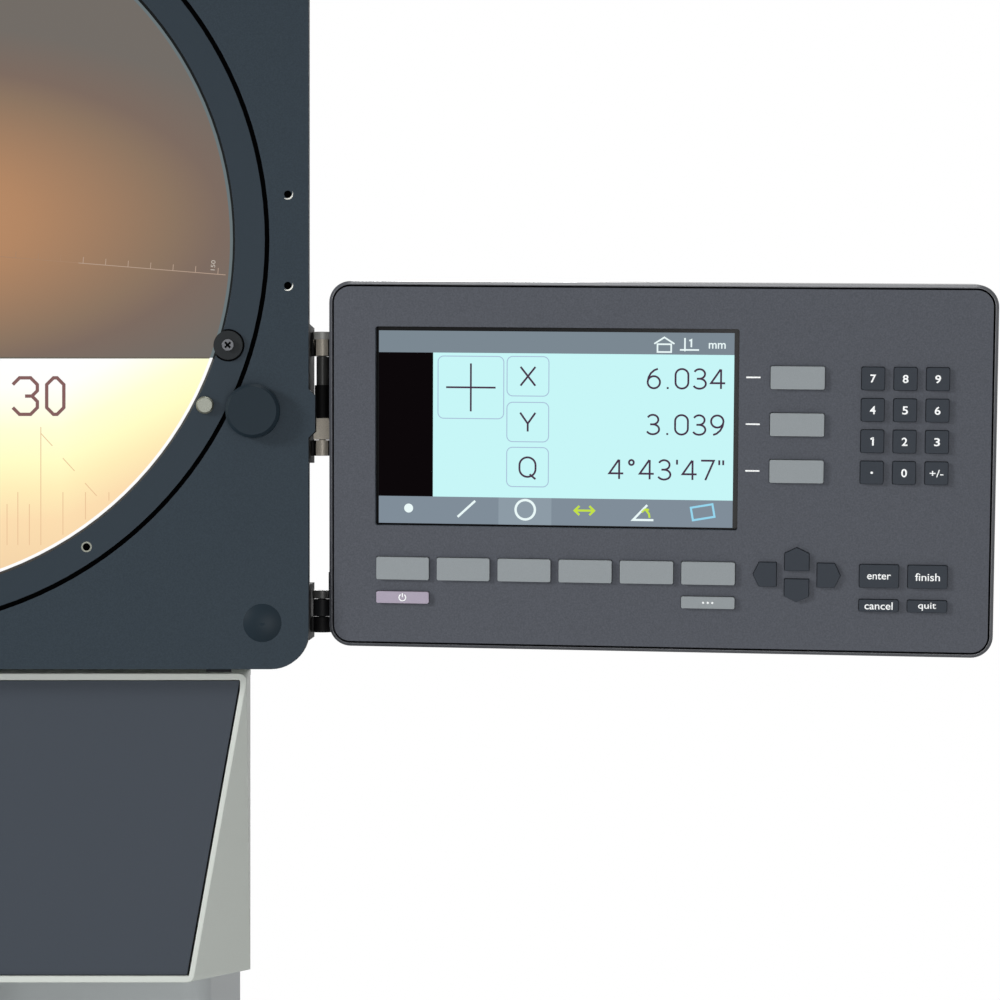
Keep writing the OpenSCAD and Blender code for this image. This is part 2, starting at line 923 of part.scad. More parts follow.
// The column's T-shaped way seen from above, widened by a gap for the groove that runs on it
module way_outline(gap) {
    head_front = column_front_y - way_stem_d - way_head_d - gap;
    translate([-way_head_w / 2 - gap, head_front])
        square([way_head_w + 2 * gap, way_head_d + 2 * gap]);
    translate([-way_stem_w / 2 - gap, head_front + cut])
        square([way_stem_w + 2 * gap, column_front_y + cut - head_front]);
}

module column() {
    mid_y = column_front_y + column_d / 2;
    column_h = head_floor_z - base_h;
    color("#c9cdce")
    difference() {
        union() {
            translate([0, mid_y, base_h])
                linear_extrude(column_h)
                    rounded_rect(column_w, column_d, column_corner_r);
            translate([0, 0, way_z])
                linear_extrude(way_l)
                    way_outline(0);
            along_x(column_w / 2 - cut, focus_y, focus_z)
                cylinder(r = focus_boss_r, h = focus_boss_l + cut);
        }
        translate([-column_w / 2 + column_wall, column_front_y + column_wall, base_h + column_wall])
            cube([column_w - 2 * column_wall, column_d - 2 * column_wall, column_h - 2 * column_wall]);
        along_x(column_w / 2 + focus_boss_l - focus_shaft_l, focus_y, focus_z)
            cylinder(r = focus_shaft_r + run_gap, h = focus_shaft_l + cut);
        translate([inlet_x - inlet_w / 2, column_back_y - inlet_d, inlet_z - inlet_h / 2])
            cube([inlet_w, inlet_d + cut, inlet_h]);
    }
}

// Three-pin mains inlet with its flange, set into the column's back
module power_inlet() {
    flange_w = inlet_w + 2 * inlet_flange_out.x;
    flange_h = inlet_h + 2 * inlet_flange_out.y;
    color("#1b1c1e")
    translate([inlet_x, 0, inlet_z]) {
        difference() {
            union() {
                slab(column_back_y, inlet_flange_t)
                    rounded_rect(flange_w, flange_h, inlet_flange_out.y);
                slab(column_back_y - inlet_d, inlet_d + cut)
                    square([inlet_w, inlet_h], center = true);
            }
            slab(column_back_y - inlet_d + inlet_wall, inlet_d + inlet_flange_t)
                rounded_rect(inlet_w - 2 * inlet_wall, inlet_h - 2 * inlet_wall, inlet_corner_r);
        }
        for (i = [-1:1])
            translate([i * inlet_pin_x, 0, (1 - 2 * abs(i)) * inlet_pin_z])
                slab(column_back_y - inlet_d, inlet_d - inlet_pin_in)
                    square(inlet_pin, center = true);
    }
}

// Finned tower that holds the lamp and its condenser
module lamp_house() {
    color("#2f3236")
    translate([0, lens_y, base_h]) {
        difference() {
            union() {
                cylinder(r = lamp_flange_r, h = lamp_flange_t);
                cylinder(r = lamp_body_r, h = lamp_h);
                for (i = [1:lamp_fins])
                    translate([0, 0, lamp_flange_t + lamp_fin_pitch * i])
                        cylinder(r = lamp_fin_r, h = lamp_fin_t);
                translate([0, 0, lamp_h - lamp_collar_h])
                    cylinder(r = lamp_body_r + lamp_collar_out, h = lamp_collar_h);
            }
            translate([0, 0, lamp_h / 2])
                cylinder(r = lamp_bore_r, h = lamp_h);
        }
        translate([0, 0, lamp_h - condenser_in])
            dome(lamp_bore_r, condenser_h);
    }
}

// Saddle on the column's way with the shelf that carries the stage
module knee() {
    saddle_z = knee_height - saddle_drop;
    saddle_h = saddle_drop + saddle_rise;
    color("#b6bcc0") {
        difference() {
            union() {
                translate([-knee_half, saddle_front_y, saddle_z])
                    cube([2 * knee_half, column_front_y - slide_gap - saddle_front_y, saddle_h]);
                translate([-knee_half, shelf_front_y, knee_height])
                    cube([2 * knee_half, saddle_front_y - shelf_front_y + cut, knee_t]);
                for (s = [-1, 1])
                    translate([s * (knee_half - gusset_t / 2) - gusset_t / 2, 0, 0])
                        rotate([90, 0, 90])
                            linear_extrude(gusset_t)
                                polygon([
                                    [saddle_front_y + cut, saddle_z],
                                    [saddle_front_y + cut, knee_height + cut],
                                    [lens_y - gusset_reach, knee_height + cut],
                                    [lens_y - gusset_reach, knee_height]
                                ]);
                for (s = [-1, 1])
                    translate([s * y_rail_x - y_rail_w / 2, shelf_front_y, knee_height + knee_t - cut])
                        cube([y_rail_w, saddle_front_y - shelf_front_y, rail_h + cut]);
            }
            translate([0, 0, saddle_z - cut])
                linear_extrude(saddle_h + 2 * cut)
                    way_outline(slide_gap);
            translate([0, lens_y, knee_height - cut])
                cylinder(r = light_r, h = knee_t + 2 * cut);
            along_y(0, shelf_front_y - cut, knee_height + knee_t / 2)
                cylinder(r = shaft_r + run_gap, h = y_shaft_l + 2 * cut);
        }
    }
}

// Lower slide, which runs front to back, with the arm that carries the X handwheel
module y_slide() {
    arm_z = y_slide_z + (slide_t - x_arm_h) / 2;
    color("#a9b0b4")
    difference() {
        union() {
            translate([-knee_half, lens_y - stage_d / 2, y_slide_z])
                cube([2 * knee_half, stage_d, slide_t]);
            translate([knee_half - cut, lens_y - x_arm_w / 2, arm_z])
                cube([x_arm_end - knee_half + cut, x_arm_w, x_arm_h]);
            for (s = [-1, 1])
                translate([-knee_half, lens_y + s * x_rail_off - x_rail_w / 2, y_slide_z + slide_t - cut])
                    cube([2 * knee_half, x_rail_w, rail_h + cut]);
        }
        for (s = [-1, 1])
            translate([s * y_rail_x, lens_y, y_slide_z - cut])
                translate([-y_rail_w / 2 - slide_gap, -stage_d / 2 - cut, 0])
                    cube([y_rail_w + 2 * slide_gap, stage_d + 2 * cut, rail_h + cut]);
        translate([0, lens_y, y_slide_z - cut])
            cylinder(r = light_r, h = slide_t + 2 * cut);
        along_x(x_arm_end - x_shaft_l - cut, lens_y, y_slide_z + slide_t / 2)
            cylinder(r = shaft_r + run_gap, h = x_shaft_l + 2 * cut);
    }
}

// Upper slide, which runs left to right and holds the stage glass
module x_slide() {
    color("#c2c7ca")
    difference() {
        translate([0, lens_y, x_slide_z])
            linear_extrude(x_slide_t)
                rounded_rect(stage_w, stage_d, stage_corner_r);
        for (s = [-1, 1])
            translate([0, lens_y + s * x_rail_off, x_slide_z - cut])
                translate([-stage_w / 2 - cut, -x_rail_w / 2 - slide_gap, 0])
                    cube([stage_w + 2 * cut, x_rail_w + 2 * slide_gap, rail_h + cut]);
        translate([0, lens_y, x_slide_z - cut])
            cylinder(r = stage_glass_r - stage_lip, h = x_slide_t + 2 * cut);
        translate([0, lens_y, stage_top_z - stage_glass_t])
            cylinder(r = stage_glass_r, h = stage_glass_t + cut);
        for (x = [-1, 1], y = [-1, 1])
            translate([x * fixture_x, lens_y + y * fixture_y, stage_top_z - fixture_depth])
                cylinder(r = fixture_hole_r, h = fixture_depth + cut);
    }
}

module stage_glass() {
    color("#d8e6ea", 0.6)
    translate([0, lens_y, stage_top_z - stage_glass_t])
        cylinder(r = stage_glass_r - run_gap, h = stage_glass_t);
}

// A dished wheel with a crank knob, its hub face on z = 0, and a shaft of length l behind it
module handwheel(d, shaft_radius, l) {
    r = d / 2;
    rim_r = r - wheel_rim;
    hub_r = shaft_radius + wheel_hub_out;
    rotate_extrude()
        polygon([
            [0, 0],
            [hub_r, 0],
            [hub_r, wheel_web[0]],
            [rim_r, wheel_web[0]],
            [rim_r + cut, wheel_edge - cut],
            [r, wheel_edge],
            [r, wheel_t - wheel_edge],
            [r - cut, wheel_t - cut],
            [rim_r, wheel_t - 2 * cut],
            [rim_r - cut, wheel_web[1]],
            [hub_r + cut, wheel_web[1]],
            [hub_r, wheel_t],
            [0, wheel_t]
        ]);
    translate([rim_r - grip_r, 0, grip_z])
        cylinder(r = grip_r, h = grip_l);
    translate([0, 0, -l])
        cylinder(r = shaft_radius, h = l + cut);
}

module x_handwheel() {
    color("#202225")
    along_x(x_arm_end + wheel_gap, lens_y, y_slide_z + slide_t / 2)
        handwheel(handwheel_d, shaft_r, x_shaft_l);
}

module y_handwheel() {
    color("#202225")
    along_y(0, shelf_front_y - wheel_gap, knee_height + knee_t / 2)
        mirror([0, 0, 1])
            handwheel(handwheel_d, shaft_r, y_shaft_l);
}

module focus_handwheel() {
    color("#202225")
    along_x(column_w / 2 + focus_boss_l + wheel_gap, focus_y, focus_z)
        handwheel(focus_wheel_d, focus_shaft_r, focus_shaft_l);
}

// A round lug on the hinge axis with a web back to the wall
module hinge_lug(z, t, r) {
    translate([head_half + cut, hinge_y + lug_web_y, z])
        cube([hinge_x - head_half - cut, r - lug_web_y, t]);
    translate([hinge_x, hinge_y, z])
        cylinder(r = r, h = t);
}

module wall_plate(bottom, top) {
    translate([head_half, hinge_y - bracket_front, bottom - bracket_over])
        cube([bracket_t, bracket_d, top - bottom + 2 * bracket_over]);
}

module hinge_pin(bottom, top) {
    translate([hinge_x, hinge_y, bottom])
        cylinder(r = hinge_r, h = top - bottom);
}

// Upper and lower hinge brackets on the head's side, each with its pin
module wall_bracket() {
    color("#8d9196") {
        wall_plate(upper_hinge_bottom, upper_hinge_top);
        hinge_lug(upper_hinge_top - upper_lug_t, upper_lug_t, lug_r);
        hinge_lug(upper_hinge_top - lug_cap_t, lug_cap_t, lug_r + lug_cap_out);
        hinge_lug(upper_hinge_bottom, lower_lug_t, lug_r);
        hinge_pin(upper_hinge_bottom, upper_hinge_top);
        wall_plate(foot_hinge_bottom, foot_hinge_top);
        hinge_lug(foot_hinge_bottom, foot_lug_t, lug_r);
        hinge_pin(foot_hinge_bottom, foot_hinge_top);
    }
}

module friction_nut() {
    nut_bottom = foot_hinge_bottom + foot_lug_t + slide_gap;
    nut_top = foot_hinge_top - foot_plate_t - slide_gap;
    color("#141516")
    translate([hinge_x, hinge_y, nut_bottom])
        difference() {
            cylinder(r = friction_nut_r, h = nut_top - nut_bottom);
            translate([0, 0, -cut])
                cylinder(r = hinge_r + run_gap, h = nut_top - nut_bottom + 2 * cut);
        }
}

// Frames that follow the readout: swung about the hinge, then hung on the tilt axis, then tilted
module swung() {
    translate([hinge_x, hinge_y, 0])
        rotate([0, 0, -pan])
            children();
}

module on_tilt_axis() {
    swung()
        translate([tilt_x, tilt_y, tilt_z])
            rotate([0, sag, 0])
                children();
}

module on_readout() {
    on_tilt_axis()
        rotate([tilt, 0, 0])
            translate([0, -axis_depth, 0])
                children();
}

// Barrel with its collar and block, arms past the case's side, a back plate and the ears of the tilt joint
module swing_bracket() {
    knuckle_z = upper_hinge_bottom + lower_lug_t + slide_gap;
    knuckle_h = upper_hinge_top - upper_lug_t - slide_gap - knuckle_z;
    foot_z = foot_hinge_top - foot_plate_t;
    arm_l = back_plate_y + back_plate_t - arm_front_y;
    ear_end = back_plate_y - tilt_y + cut;
    color("#85898d")
    difference() {
        union() {
            swung() {
                translate([0, 0, knuckle_z])
                    cylinder(r = knuckle_r, h = knuckle_h);
                translate([0, 0, knuckle_z + block_h])
                    cylinder(r = collar_r, h = collar_h);
                translate([-collar_r, -collar_r, knuckle_z])
                    cube([collar_r + arm_x + cut, 2 * collar_r, block_h]);
                translate([0, knuckle_r - leaf_t / 2, knuckle_z])
                    cube([arm_x + cut, leaf_t, knuckle_h]);
                translate([arm_x, arm_front_y, knuckle_z])
                    cube([arm_t, arm_l, knuckle_h]);
                translate([0, 0, foot_z])
                    cylinder(r = foot_knuckle_r, h = foot_plate_t);
                translate([0, arm_front_y, foot_z])
                    cube([arm_x + cut, -2 * arm_front_y, foot_plate_t]);
                translate([arm_x, arm_front_y, foot_z])
                    cube([arm_t, arm_l, foot_arm_h]);
                translate([arm_x, back_plate_y, foot_z])
                    cube([back_strip_w, back_plate_t, knuckle_z + knuckle_h - foot_z]);
                translate([arm_x, back_plate_y, tilt_z - back_strip_half])
                    cube([tilt_x + boss_half, back_plate_t, 2 * back_strip_half]);
            }
            on_tilt_axis() {
                for (s = [-1, 1])
                    translate([s * (boss_half + slide_gap + ear_t / 2) - ear_t / 2, 0, 0]) {
                        along_x(0, 0, 0)
                            cylinder(r = boss_r, h = ear_t);
                        translate([0, 0, -boss_r])
                            cube([ear_t, ear_end, 2 * boss_r]);
                    }
                along_x(-boss_half - cut, 0, 0)
                    cylinder(r = tilt_pin_r, h = 2 * (boss_half + cut));
            }
        }
        translate([hinge_x, hinge_y, foot_z - cut])
            cylinder(r = hinge_r + run_gap, h = upper_hinge_top - foot_z);
    }
}

// The case's outside: a bevelled front part and a narrower back part
module case_form() {
    back_in = 2 * case_step_in;
    hull() {
        slab(0, rim_bevel)
            rounded_rect(readout_w - 2 * rim_bevel, readout_h - 2 * rim_bevel, readout_corner_r - rim_bevel);
        slab(rim_bevel, case_step_y - rim_bevel)
            rounded_rect(readout_w, readout_h, readout_corner_r);
    }
    slab(case_step_y - cut, readout_t - case_step_y + cut)
        rounded_rect(readout_w - back_in, readout_h - back_in, readout_corner_r - case_step_in);
}

// Moulded case, open at the front, with a ledge for the panel, posts for the board and the tilt boss
module readout_case() {
    deep = readout_t - case_back_t;
    color("#4a4c50")
    on_readout()
        difference() {
            union() {
                difference() {
                    case_form();
                    slab(-cut, panel_t + cut)
                        rounded_rect(readout_w - 2 * readout_rim, readout_h - 2 * readout_rim,
                                     readout_corner_r - readout_rim);
                    slab(panel_t - cut, deep - panel_t + cut)
                        rounded_rect(readout_w - 2 * ledge_w, readout_h - 2 * ledge_w, case_inner_r);
                    for (s = [-1, 1], i = [-2:2])
                        translate([s * vent_u, 0, vent_v + i * vent_pitch])
                            slab(deep - cut, case_back_t + 2 * cut)
                                square(vent, center = true);
                }
                for (x = [-1, 1], z = [-1, 1])
                    along_y(x * (readout_w / 2 - post_in), board_y + board_t, z * (readout_h / 2 - post_in))
                        cylinder(r = post_r, h = deep - board_y - board_t + cut);
                along_x(-boss_half, axis_depth, 0)
                    cylinder(r = boss_r, h = 2 * boss_half);
                translate([-boss_half, deep, -boss_r])
                    cube([2 * boss_half, axis_depth - deep, 2 * boss_r]);
            }
            along_x(-boss_half - cut, axis_depth, 0)
                cylinder(r = tilt_pin_r + run_gap, h = 2 * (boss_half + cut));
        }
}

// A key's flat outline, wider by a margin all round; a pointed key has its point to the right
module key_outline(k, margin) {
    size = [k[3].x + 2 * margin, k[3].y + 2 * margin];
    if (k[4] == undef)
        rounded_rect(size.x, size.y, key_corner_r);
    else
        rotate(k[4])
            polygon([
                [-size.y / 2, -size.x / 2],
                [size.y / 4, -size.x / 2],
                [size.y / 2, 0],
                [size.y / 4, size.x / 2],
                [-size.y / 2, size.x / 2]
            ]);
}

module readout_panel() {
    color("#55565b")
    on_readout()
        difference() {
            slab(0, panel_t)
                rounded_rect(panel_w, panel_h, panel_corner_r);
            slab(-cut, panel_t + 2 * cut)
                translate([window_u, window_v])
                    rounded_rect(window_w, window_h, window_corner_r);
            for (k = keys)
                slab(-cut, panel_t + 2 * cut)
                    translate([k[1], k[2]])
                        key_outline(k, key_gap);
        }
}

// Display with the circuit board that it and the keys sit on
module display_module() {
    board_w = readout_w - 2 * ledge_w - 2 * board_in;
    board_h = readout_h - 2 * ledge_w - 2 * board_in;
    color("#cfeef0")
    on_readout() {
        slab(board_y, board_t)
            square([board_w, board_h], center = true);
        translate([window_u, 0, window_v])
            slab(lcd_front, board_y - lcd_front + board_t / 2)
                square([window_w + 2 * lcd_margin, window_h + 2 * lcd_margin], center = true);
    }
}

// One key: cap through the panel, flange behind it and a stem towards the board
module key(k) {
    flange_y = panel_t + slide_gap;
    color(k[3] == square_key || k[3] == word_key || k[3] == thin_word_key || k[3] == arrow_key
          ? "#3e3f44" : "#8d9092")
    on_readout()
        translate([k[1], 0, k[2]]) {
            slab(-key_proud, flange_y + key_proud + key_flange_t / 2)
                key_outline(k, 0);
            slab(flange_y, key_flange_t)
                key_outline(k, key_flange);
            along_y(0, flange_y, 0)
                cylinder(r = key_stem_r, h = board_y - key_travel_room - flange_y);
        }
}

base_casting();
column();
head_housing();
screen_plate();
plate_caps();
lens_shroud();
shroud_panel();
projection_lens();
fold_mirrors();
lamp_house();
wall_bracket();
power_inlet();
screen_ring();
screen_glass();
chart_clips();
ring_screws();
rotation_knob();
knee();
y_slide();
x_slide();
stage_glass();
x_handwheel();
y_handwheel();
focus_handwheel();
swing_bracket();
readout_case();
readout_panel();
display_module();
friction_nut();
for (k = keys)
    key(k);
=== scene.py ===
import json
import math

import bpy
from mathutils import Matrix, Vector


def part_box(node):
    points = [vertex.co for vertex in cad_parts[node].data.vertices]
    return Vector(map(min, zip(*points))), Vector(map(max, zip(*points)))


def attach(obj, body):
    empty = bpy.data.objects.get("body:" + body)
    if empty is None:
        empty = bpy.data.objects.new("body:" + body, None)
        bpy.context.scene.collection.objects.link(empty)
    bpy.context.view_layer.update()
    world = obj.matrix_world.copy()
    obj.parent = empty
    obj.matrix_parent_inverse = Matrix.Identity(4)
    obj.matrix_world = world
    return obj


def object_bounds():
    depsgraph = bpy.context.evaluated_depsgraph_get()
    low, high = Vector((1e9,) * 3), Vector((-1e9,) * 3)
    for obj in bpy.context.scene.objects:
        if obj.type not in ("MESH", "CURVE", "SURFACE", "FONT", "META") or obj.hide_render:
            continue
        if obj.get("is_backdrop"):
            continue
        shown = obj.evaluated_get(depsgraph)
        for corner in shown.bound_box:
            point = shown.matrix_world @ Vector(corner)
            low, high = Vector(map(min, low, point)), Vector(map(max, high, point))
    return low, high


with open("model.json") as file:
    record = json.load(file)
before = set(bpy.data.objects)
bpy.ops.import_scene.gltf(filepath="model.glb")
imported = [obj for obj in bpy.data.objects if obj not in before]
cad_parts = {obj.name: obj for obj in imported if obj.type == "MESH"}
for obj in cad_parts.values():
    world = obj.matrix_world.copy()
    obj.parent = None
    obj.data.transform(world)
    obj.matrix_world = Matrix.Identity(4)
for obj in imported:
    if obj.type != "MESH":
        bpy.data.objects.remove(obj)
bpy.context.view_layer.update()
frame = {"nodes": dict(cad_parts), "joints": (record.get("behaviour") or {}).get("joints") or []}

MM = 0.001
NODES = frame["nodes"]
JOINTS = {joint["name"]: joint for joint in frame["joints"]}


# Places taken from the frame: screen, plate, ring, barrels, hinge and the readout's own axes

glass_low, glass_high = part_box("screen_glass")
SCREEN_CENTRE = (glass_low + glass_high) / 2
GLASS_FRONT = glass_low.y
plate_low, plate_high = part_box("screen_plate")
PLATE_FRONT = plate_low.y
PLATE_BACK = plate_high.y
ring_low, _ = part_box("screen_ring")
RING_FRONT = ring_low.y
lens_low, lens_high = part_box("projection_lens")
LENS_AXIS = (lens_low + lens_high) / 2
lamp_low, lamp_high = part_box("lamp_house")
LAMP_AXIS = (lamp_low + lamp_high) / 2
nut_low, nut_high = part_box("friction_nut")
HINGE_AXIS = (nut_low + nut_high) / 2

ACROSS = Vector(JOINTS["readout_tilt"]["axis"]).normalized()
INWARD = Vector(JOINTS["key_enter_press"]["axis"]).normalized()
UPWARD = ACROSS.cross(INWARD)


def span(node, direction):
    """Lowest and highest place of a node along a direction."""
    places = [v.co.dot(direction) for v in NODES[node].data.vertices]
    return min(places), max(places)


PANEL_FACE = span("readout_panel", INWARD)[0]
DISPLAY_FACE = span("display_module", INWARD)[0]
CASE_FACE = span("readout_case", INWARD)[0]
DISPLAY_DEPTH = (DISPLAY_FACE - PANEL_FACE) / MM
KEY_DEPTH = (span("key_enter", INWARD)[0] - PANEL_FACE) / MM


def readout_matrix():
    """Frame of the readout: x across, y into the case, z up, from the panel's middle."""
    u_low, u_high = span("readout_panel", ACROSS)
    v_low, v_high = span("readout_panel", UPWARD)
    origin = ACROSS * (u_low + u_high) / 2 + UPWARD * (v_low + v_high) / 2 + INWARD * PANEL_FACE
    axes = Matrix((ACROSS, INWARD, UPWARD)).transposed().to_4x4()
    return Matrix.Translation(origin) @ axes


READOUT = readout_matrix()
FACE_ON = Matrix.Rotation(math.radians(90), 4, "X")


# Materials made of nodes; their colours are display values, their sizes are in millimetres

GRAIN_DETAIL = 3
GRAIN_LOW, GRAIN_HIGH = 0.3, 0.7
EDGE_SAMPLES = 4
RELIEF_DEPTH = 0.1
GLASS_ROUGH = 0.03
GLASS_CLEAR = 0.9
GLASS_IOR = 1.5
BLACK = (0, 0, 0, 1)
WHITE = (1, 1, 1, 1)


def srgb(r, g, b):
    """Linear colour of an 8 bit display colour."""
    def line(c):
        c /= 255
        return c / 12.92 if c <= 0.04045 else ((c + 0.055) / 1.055) ** 2.4
    return (line(r), line(g), line(b), 1)


def dimmed(colour, share):
    return (colour[0] * share, colour[1] * share, colour[2] * share, 1)


def new_material(name):
    material = bpy.data.materials.new(name)
    material.use_nodes = True
    tree = material.node_tree
    return material, tree, tree.nodes["Principled BSDF"]


def surface(name, colour, rough, metal=0.0, shine=0.12,
            grain=0.06, grain_size=0.4, bump=0.02, edge=0.3):
    """A finish with a little uneven colour, a fine texture and softened edges."""
    material, tree, shader = new_material(name)
    shader.inputs["Base Color"].default_value = colour
    shader.inputs["Roughness"].default_value = rough
    shader.inputs["Metallic"].default_value = metal
    shader.inputs["Specular IOR Level"].default_value = shine
    place = tree.nodes.new("ShaderNodeTexCoord")
    noise = tree.nodes.new("ShaderNodeTexNoise")
    noise.inputs["Scale"].default_value = 1 / (grain_size * MM)
    noise.inputs["Detail"].default_value = GRAIN_DETAIL
    tree.links.new(place.outputs["Object"], noise.inputs["Vector"])
    if grain:
        ramp = tree.nodes.new("ShaderNodeValToRGB")
        dark, light = ramp.color_ramp.elements
        dark.position = GRAIN_LOW
        dark.color = dimmed(colour, 1 - grain)
        light.position = GRAIN_HIGH
        light.color = dimmed(colour, 1 + grain)
        tree.links.new(noise.outputs["Fac"], ramp.inputs["Fac"])
        tree.links.new(ramp.outputs["Color"], shader.inputs["Base Color"])
    rounding = tree.nodes.new("ShaderNodeBevel")
    rounding.samples = EDGE_SAMPLES
    rounding.inputs["Radius"].default_value = edge * MM
    relief = tree.nodes.new("ShaderNodeBump")
    relief.inputs["Strength"].default_value = bump
    relief.inputs["Distance"].default_value = RELIEF_DEPTH * MM
    tree.links.new(noise.outputs["Fac"], relief.inputs["Height"])
    tree.links.new(rounding.outputs["Normal"], relief.inputs["Normal"])
    tree.links.new(relief.outputs["Normal"], shader.inputs["Normal"])
    return material


def glow(name, colour):
    """A lit patch of a display or of the projected picture."""
    material, _, shader = new_material(name)
    shader.inputs["Base Color"].default_value = BLACK
    shader.inputs["Specular IOR Level"].default_value = 0
    shader.inputs["Emission Color"].default_value = colour
    shader.inputs["Emission Strength"].default_value = 1
    return material


def clear_glass(name, colour):
    material, _, shader = new_material(name)
    shader.inputs["Base Color"].default_value = colour
    shader.inputs["Roughness"].default_value = GLASS_ROUGH
    shader.inputs["Transmission Weight"].default_value = GLASS_CLEAR
    shader.inputs["IOR"].default_value = GLASS_IOR
    return material


def ramp_node(tree, stops, reach):
    """Colour ramp over a length, from a list of places and display colours."""
    spread = tree.nodes.new("ShaderNodeMapRange")
    spread.inputs["From Min"].default_value = 0
    spread.inputs["From Max"].default_value = reach * MM
    ramp = tree.nodes.new("ShaderNodeValToRGB")
    elements = ramp.color_ramp.elements
    while len(elements) < len(stops):
        elements.new(0.5)
    for element, (place, colour) in zip(elements, stops):
        element.position = place / reach
        element.color = srgb(*colour)
    tree.links.new(spread.outputs["Result"], ramp.inputs["Fac"])
    return spread.inputs["Value"], ramp.outputs["Color"]


def math_node(tree, operation, a, b=None):
    node = tree.nodes.new("ShaderNodeMath")
    node.operation = operation
    for socket, value in zip(node.inputs, (a, b)):
        if isinstance(value, (int, float)):
            socket.default_value = value
        elif value is not None:
            tree.links.new(value, socket)
    return node.outputs[0]


def length_node(tree, a, b):
    squares = [math_node(tree, "MULTIPLY", value, value) for value in (a, b)]
    return math_node(tree, "SQRT", math_node(tree, "ADD", *squares))


def mix_node(tree, factor, a, b):
    node = tree.nodes.new("ShaderNodeMix")
    node.data_type = "RGBA"
    tree.links.new(factor, node.inputs["Factor"])
    for socket, value in ((node.inputs[6], a), (node.inputs[7], b)):
        if isinstance(value, tuple):
            socket.default_value = value
        else:
            tree.links.new(value, socket)
    return node.outputs[2]


# The picture on the ground glass, from the screen's centre

GROUND_GLASS = (0.004, 0.004, 0.004, 1)
GROUND_ROUGH = 0.5
GROUND_SHINE = 0.02
GLASS_RIM = 154.9
SHADE_EDGE = -52
EDGE_LINE = 0.35
EDGE_COLOUR = (104, 98, 88)
RIM_SHADE = (104, 115, 118)
RIM_LIGHT = (255, 255, 255)
WARM_Z = 10
WARM_FLATNESS = 2.2
WARM_REACH = 200
SHADE_STOPS = [
    (40, (184, 137, 100)),
    (64, (177, 133, 98)),
    (130, (138, 115, 95)),
    (151, (123, 105, 94)),
    (192, (112, 106, 100)),
]
LIGHT_START = -55
LIGHT_SIDE_X = 80
LIGHT_SIDE_SHARE = 0.5
LIGHT_REACH = 120
LIGHT_STOPS = [
    (0, (255, 255, 255)),
    (10, (255, 255, 252)),
    (29, (255, 255, 214)),
    (43, (255, 253, 198)),
    (55, (255, 238, 185)),
    (69, (252, 221, 175)),
    (100, (240, 208, 165)),
]


def projected_picture(name):
    """Lit ground glass: warm shade above a straight edge, bright light below, a pale rim."""
    material, tree, shader = new_material(name)
    shader.inputs["Base Color"].default_value = GROUND_GLASS
    shader.inputs["Roughness"].default_value = GROUND_ROUGH
    shader.inputs["Specular IOR Level"].default_value = GROUND_SHINE
    place = tree.nodes.new("ShaderNodeNewGeometry")
    split = tree.nodes.new("ShaderNodeSeparateXYZ")
    tree.links.new(place.outputs["Position"], split.inputs["Vector"])
    x = math_node(tree, "ABSOLUTE", split.outputs["X"])
    z = math_node(tree, "SUBTRACT", split.outputs["Z"], SCREEN_CENTRE.z)

    from_warm = math_node(tree, "SUBTRACT", z, WARM_Z * MM)
    shade_way = length_node(tree, x, math_node(tree, "MULTIPLY", from_warm, WARM_FLATNESS))
    shade_in, shade = ramp_node(tree, SHADE_STOPS, WARM_REACH)
    tree.links.new(shade_way, shade_in)

    beside = math_node(tree, "SUBTRACT", x, LIGHT_SIDE_X * MM)
    side = math_node(tree, "MULTIPLY", math_node(tree, "MAXIMUM", beside, 0), LIGHT_SIDE_SHARE)
    below = math_node(tree, "SUBTRACT", z, LIGHT_START * MM)
    light_in, light = ramp_node(tree, LIGHT_STOPS, LIGHT_REACH)
    tree.links.new(math_node(tree, "SUBTRACT", side, below), light_in)

    bright = math_node(tree, "LESS_THAN", z, SHADE_EDGE * MM)
    from_edge = math_node(tree, "ABSOLUTE", math_node(tree, "SUBTRACT", z, SHADE_EDGE * MM))
    edge = math_node(tree, "LESS_THAN", from_edge, EDGE_LINE * MM)
    outside = math_node(tree, "GREATER_THAN", length_node(tree, x, z), GLASS_RIM * MM)
    lined = mix_node(tree, edge, mix_node(tree, bright, shade, light), srgb(*EDGE_COLOUR))
    rim = mix_node(tree, bright, srgb(*RIM_SHADE), srgb(*RIM_LIGHT))
    tree.links.new(mix_node(tree, outside, lined, rim), shader.inputs["Emission Color"])
    shader.inputs["Emission Strength"].default_value = 1
    return material


# Finishes

plate_paint = surface("plate_paint", srgb(43, 53, 61), 0.55, grain=0.12, grain_size=0.6, bump=0.06)
ring_finish = surface("ring_finish", srgb(40, 50, 58), 0.45, grain=0.05)
cap_finish = surface("cap_finish", srgb(22, 34, 42), 0.45, grain=0.05, edge=0.05)
# painted shade: near-black for the plate's side walls and recessed faces
plate_edge_shade = surface("plate_edge_shade", srgb(14, 17, 20), 0.6, grain=0.05)
# painted shade: near-black for the ring's inner bevel, which is dark from being unlit
ring_groove = surface("ring_groove", srgb(8, 9, 10), 0.4, shine=0.1)
black_plastic = surface("black_plastic", srgb(24, 25, 27), 0.5, grain=0.03)
clip_black = surface("clip_black", srgb(29, 32, 34), 0.5, grain=0.05)
bracket_black = surface("bracket_black", srgb(13, 13, 14), 0.6, grain=0.05)
# painted shade: near-black for seams, hole walls, screw recesses and faces deep behind the plate,
# which are dark only from the shade in them
painted_shade_black = surface("painted_shade_black", srgb(8, 8, 9), 0.8, shine=0.03, grain=0.0)
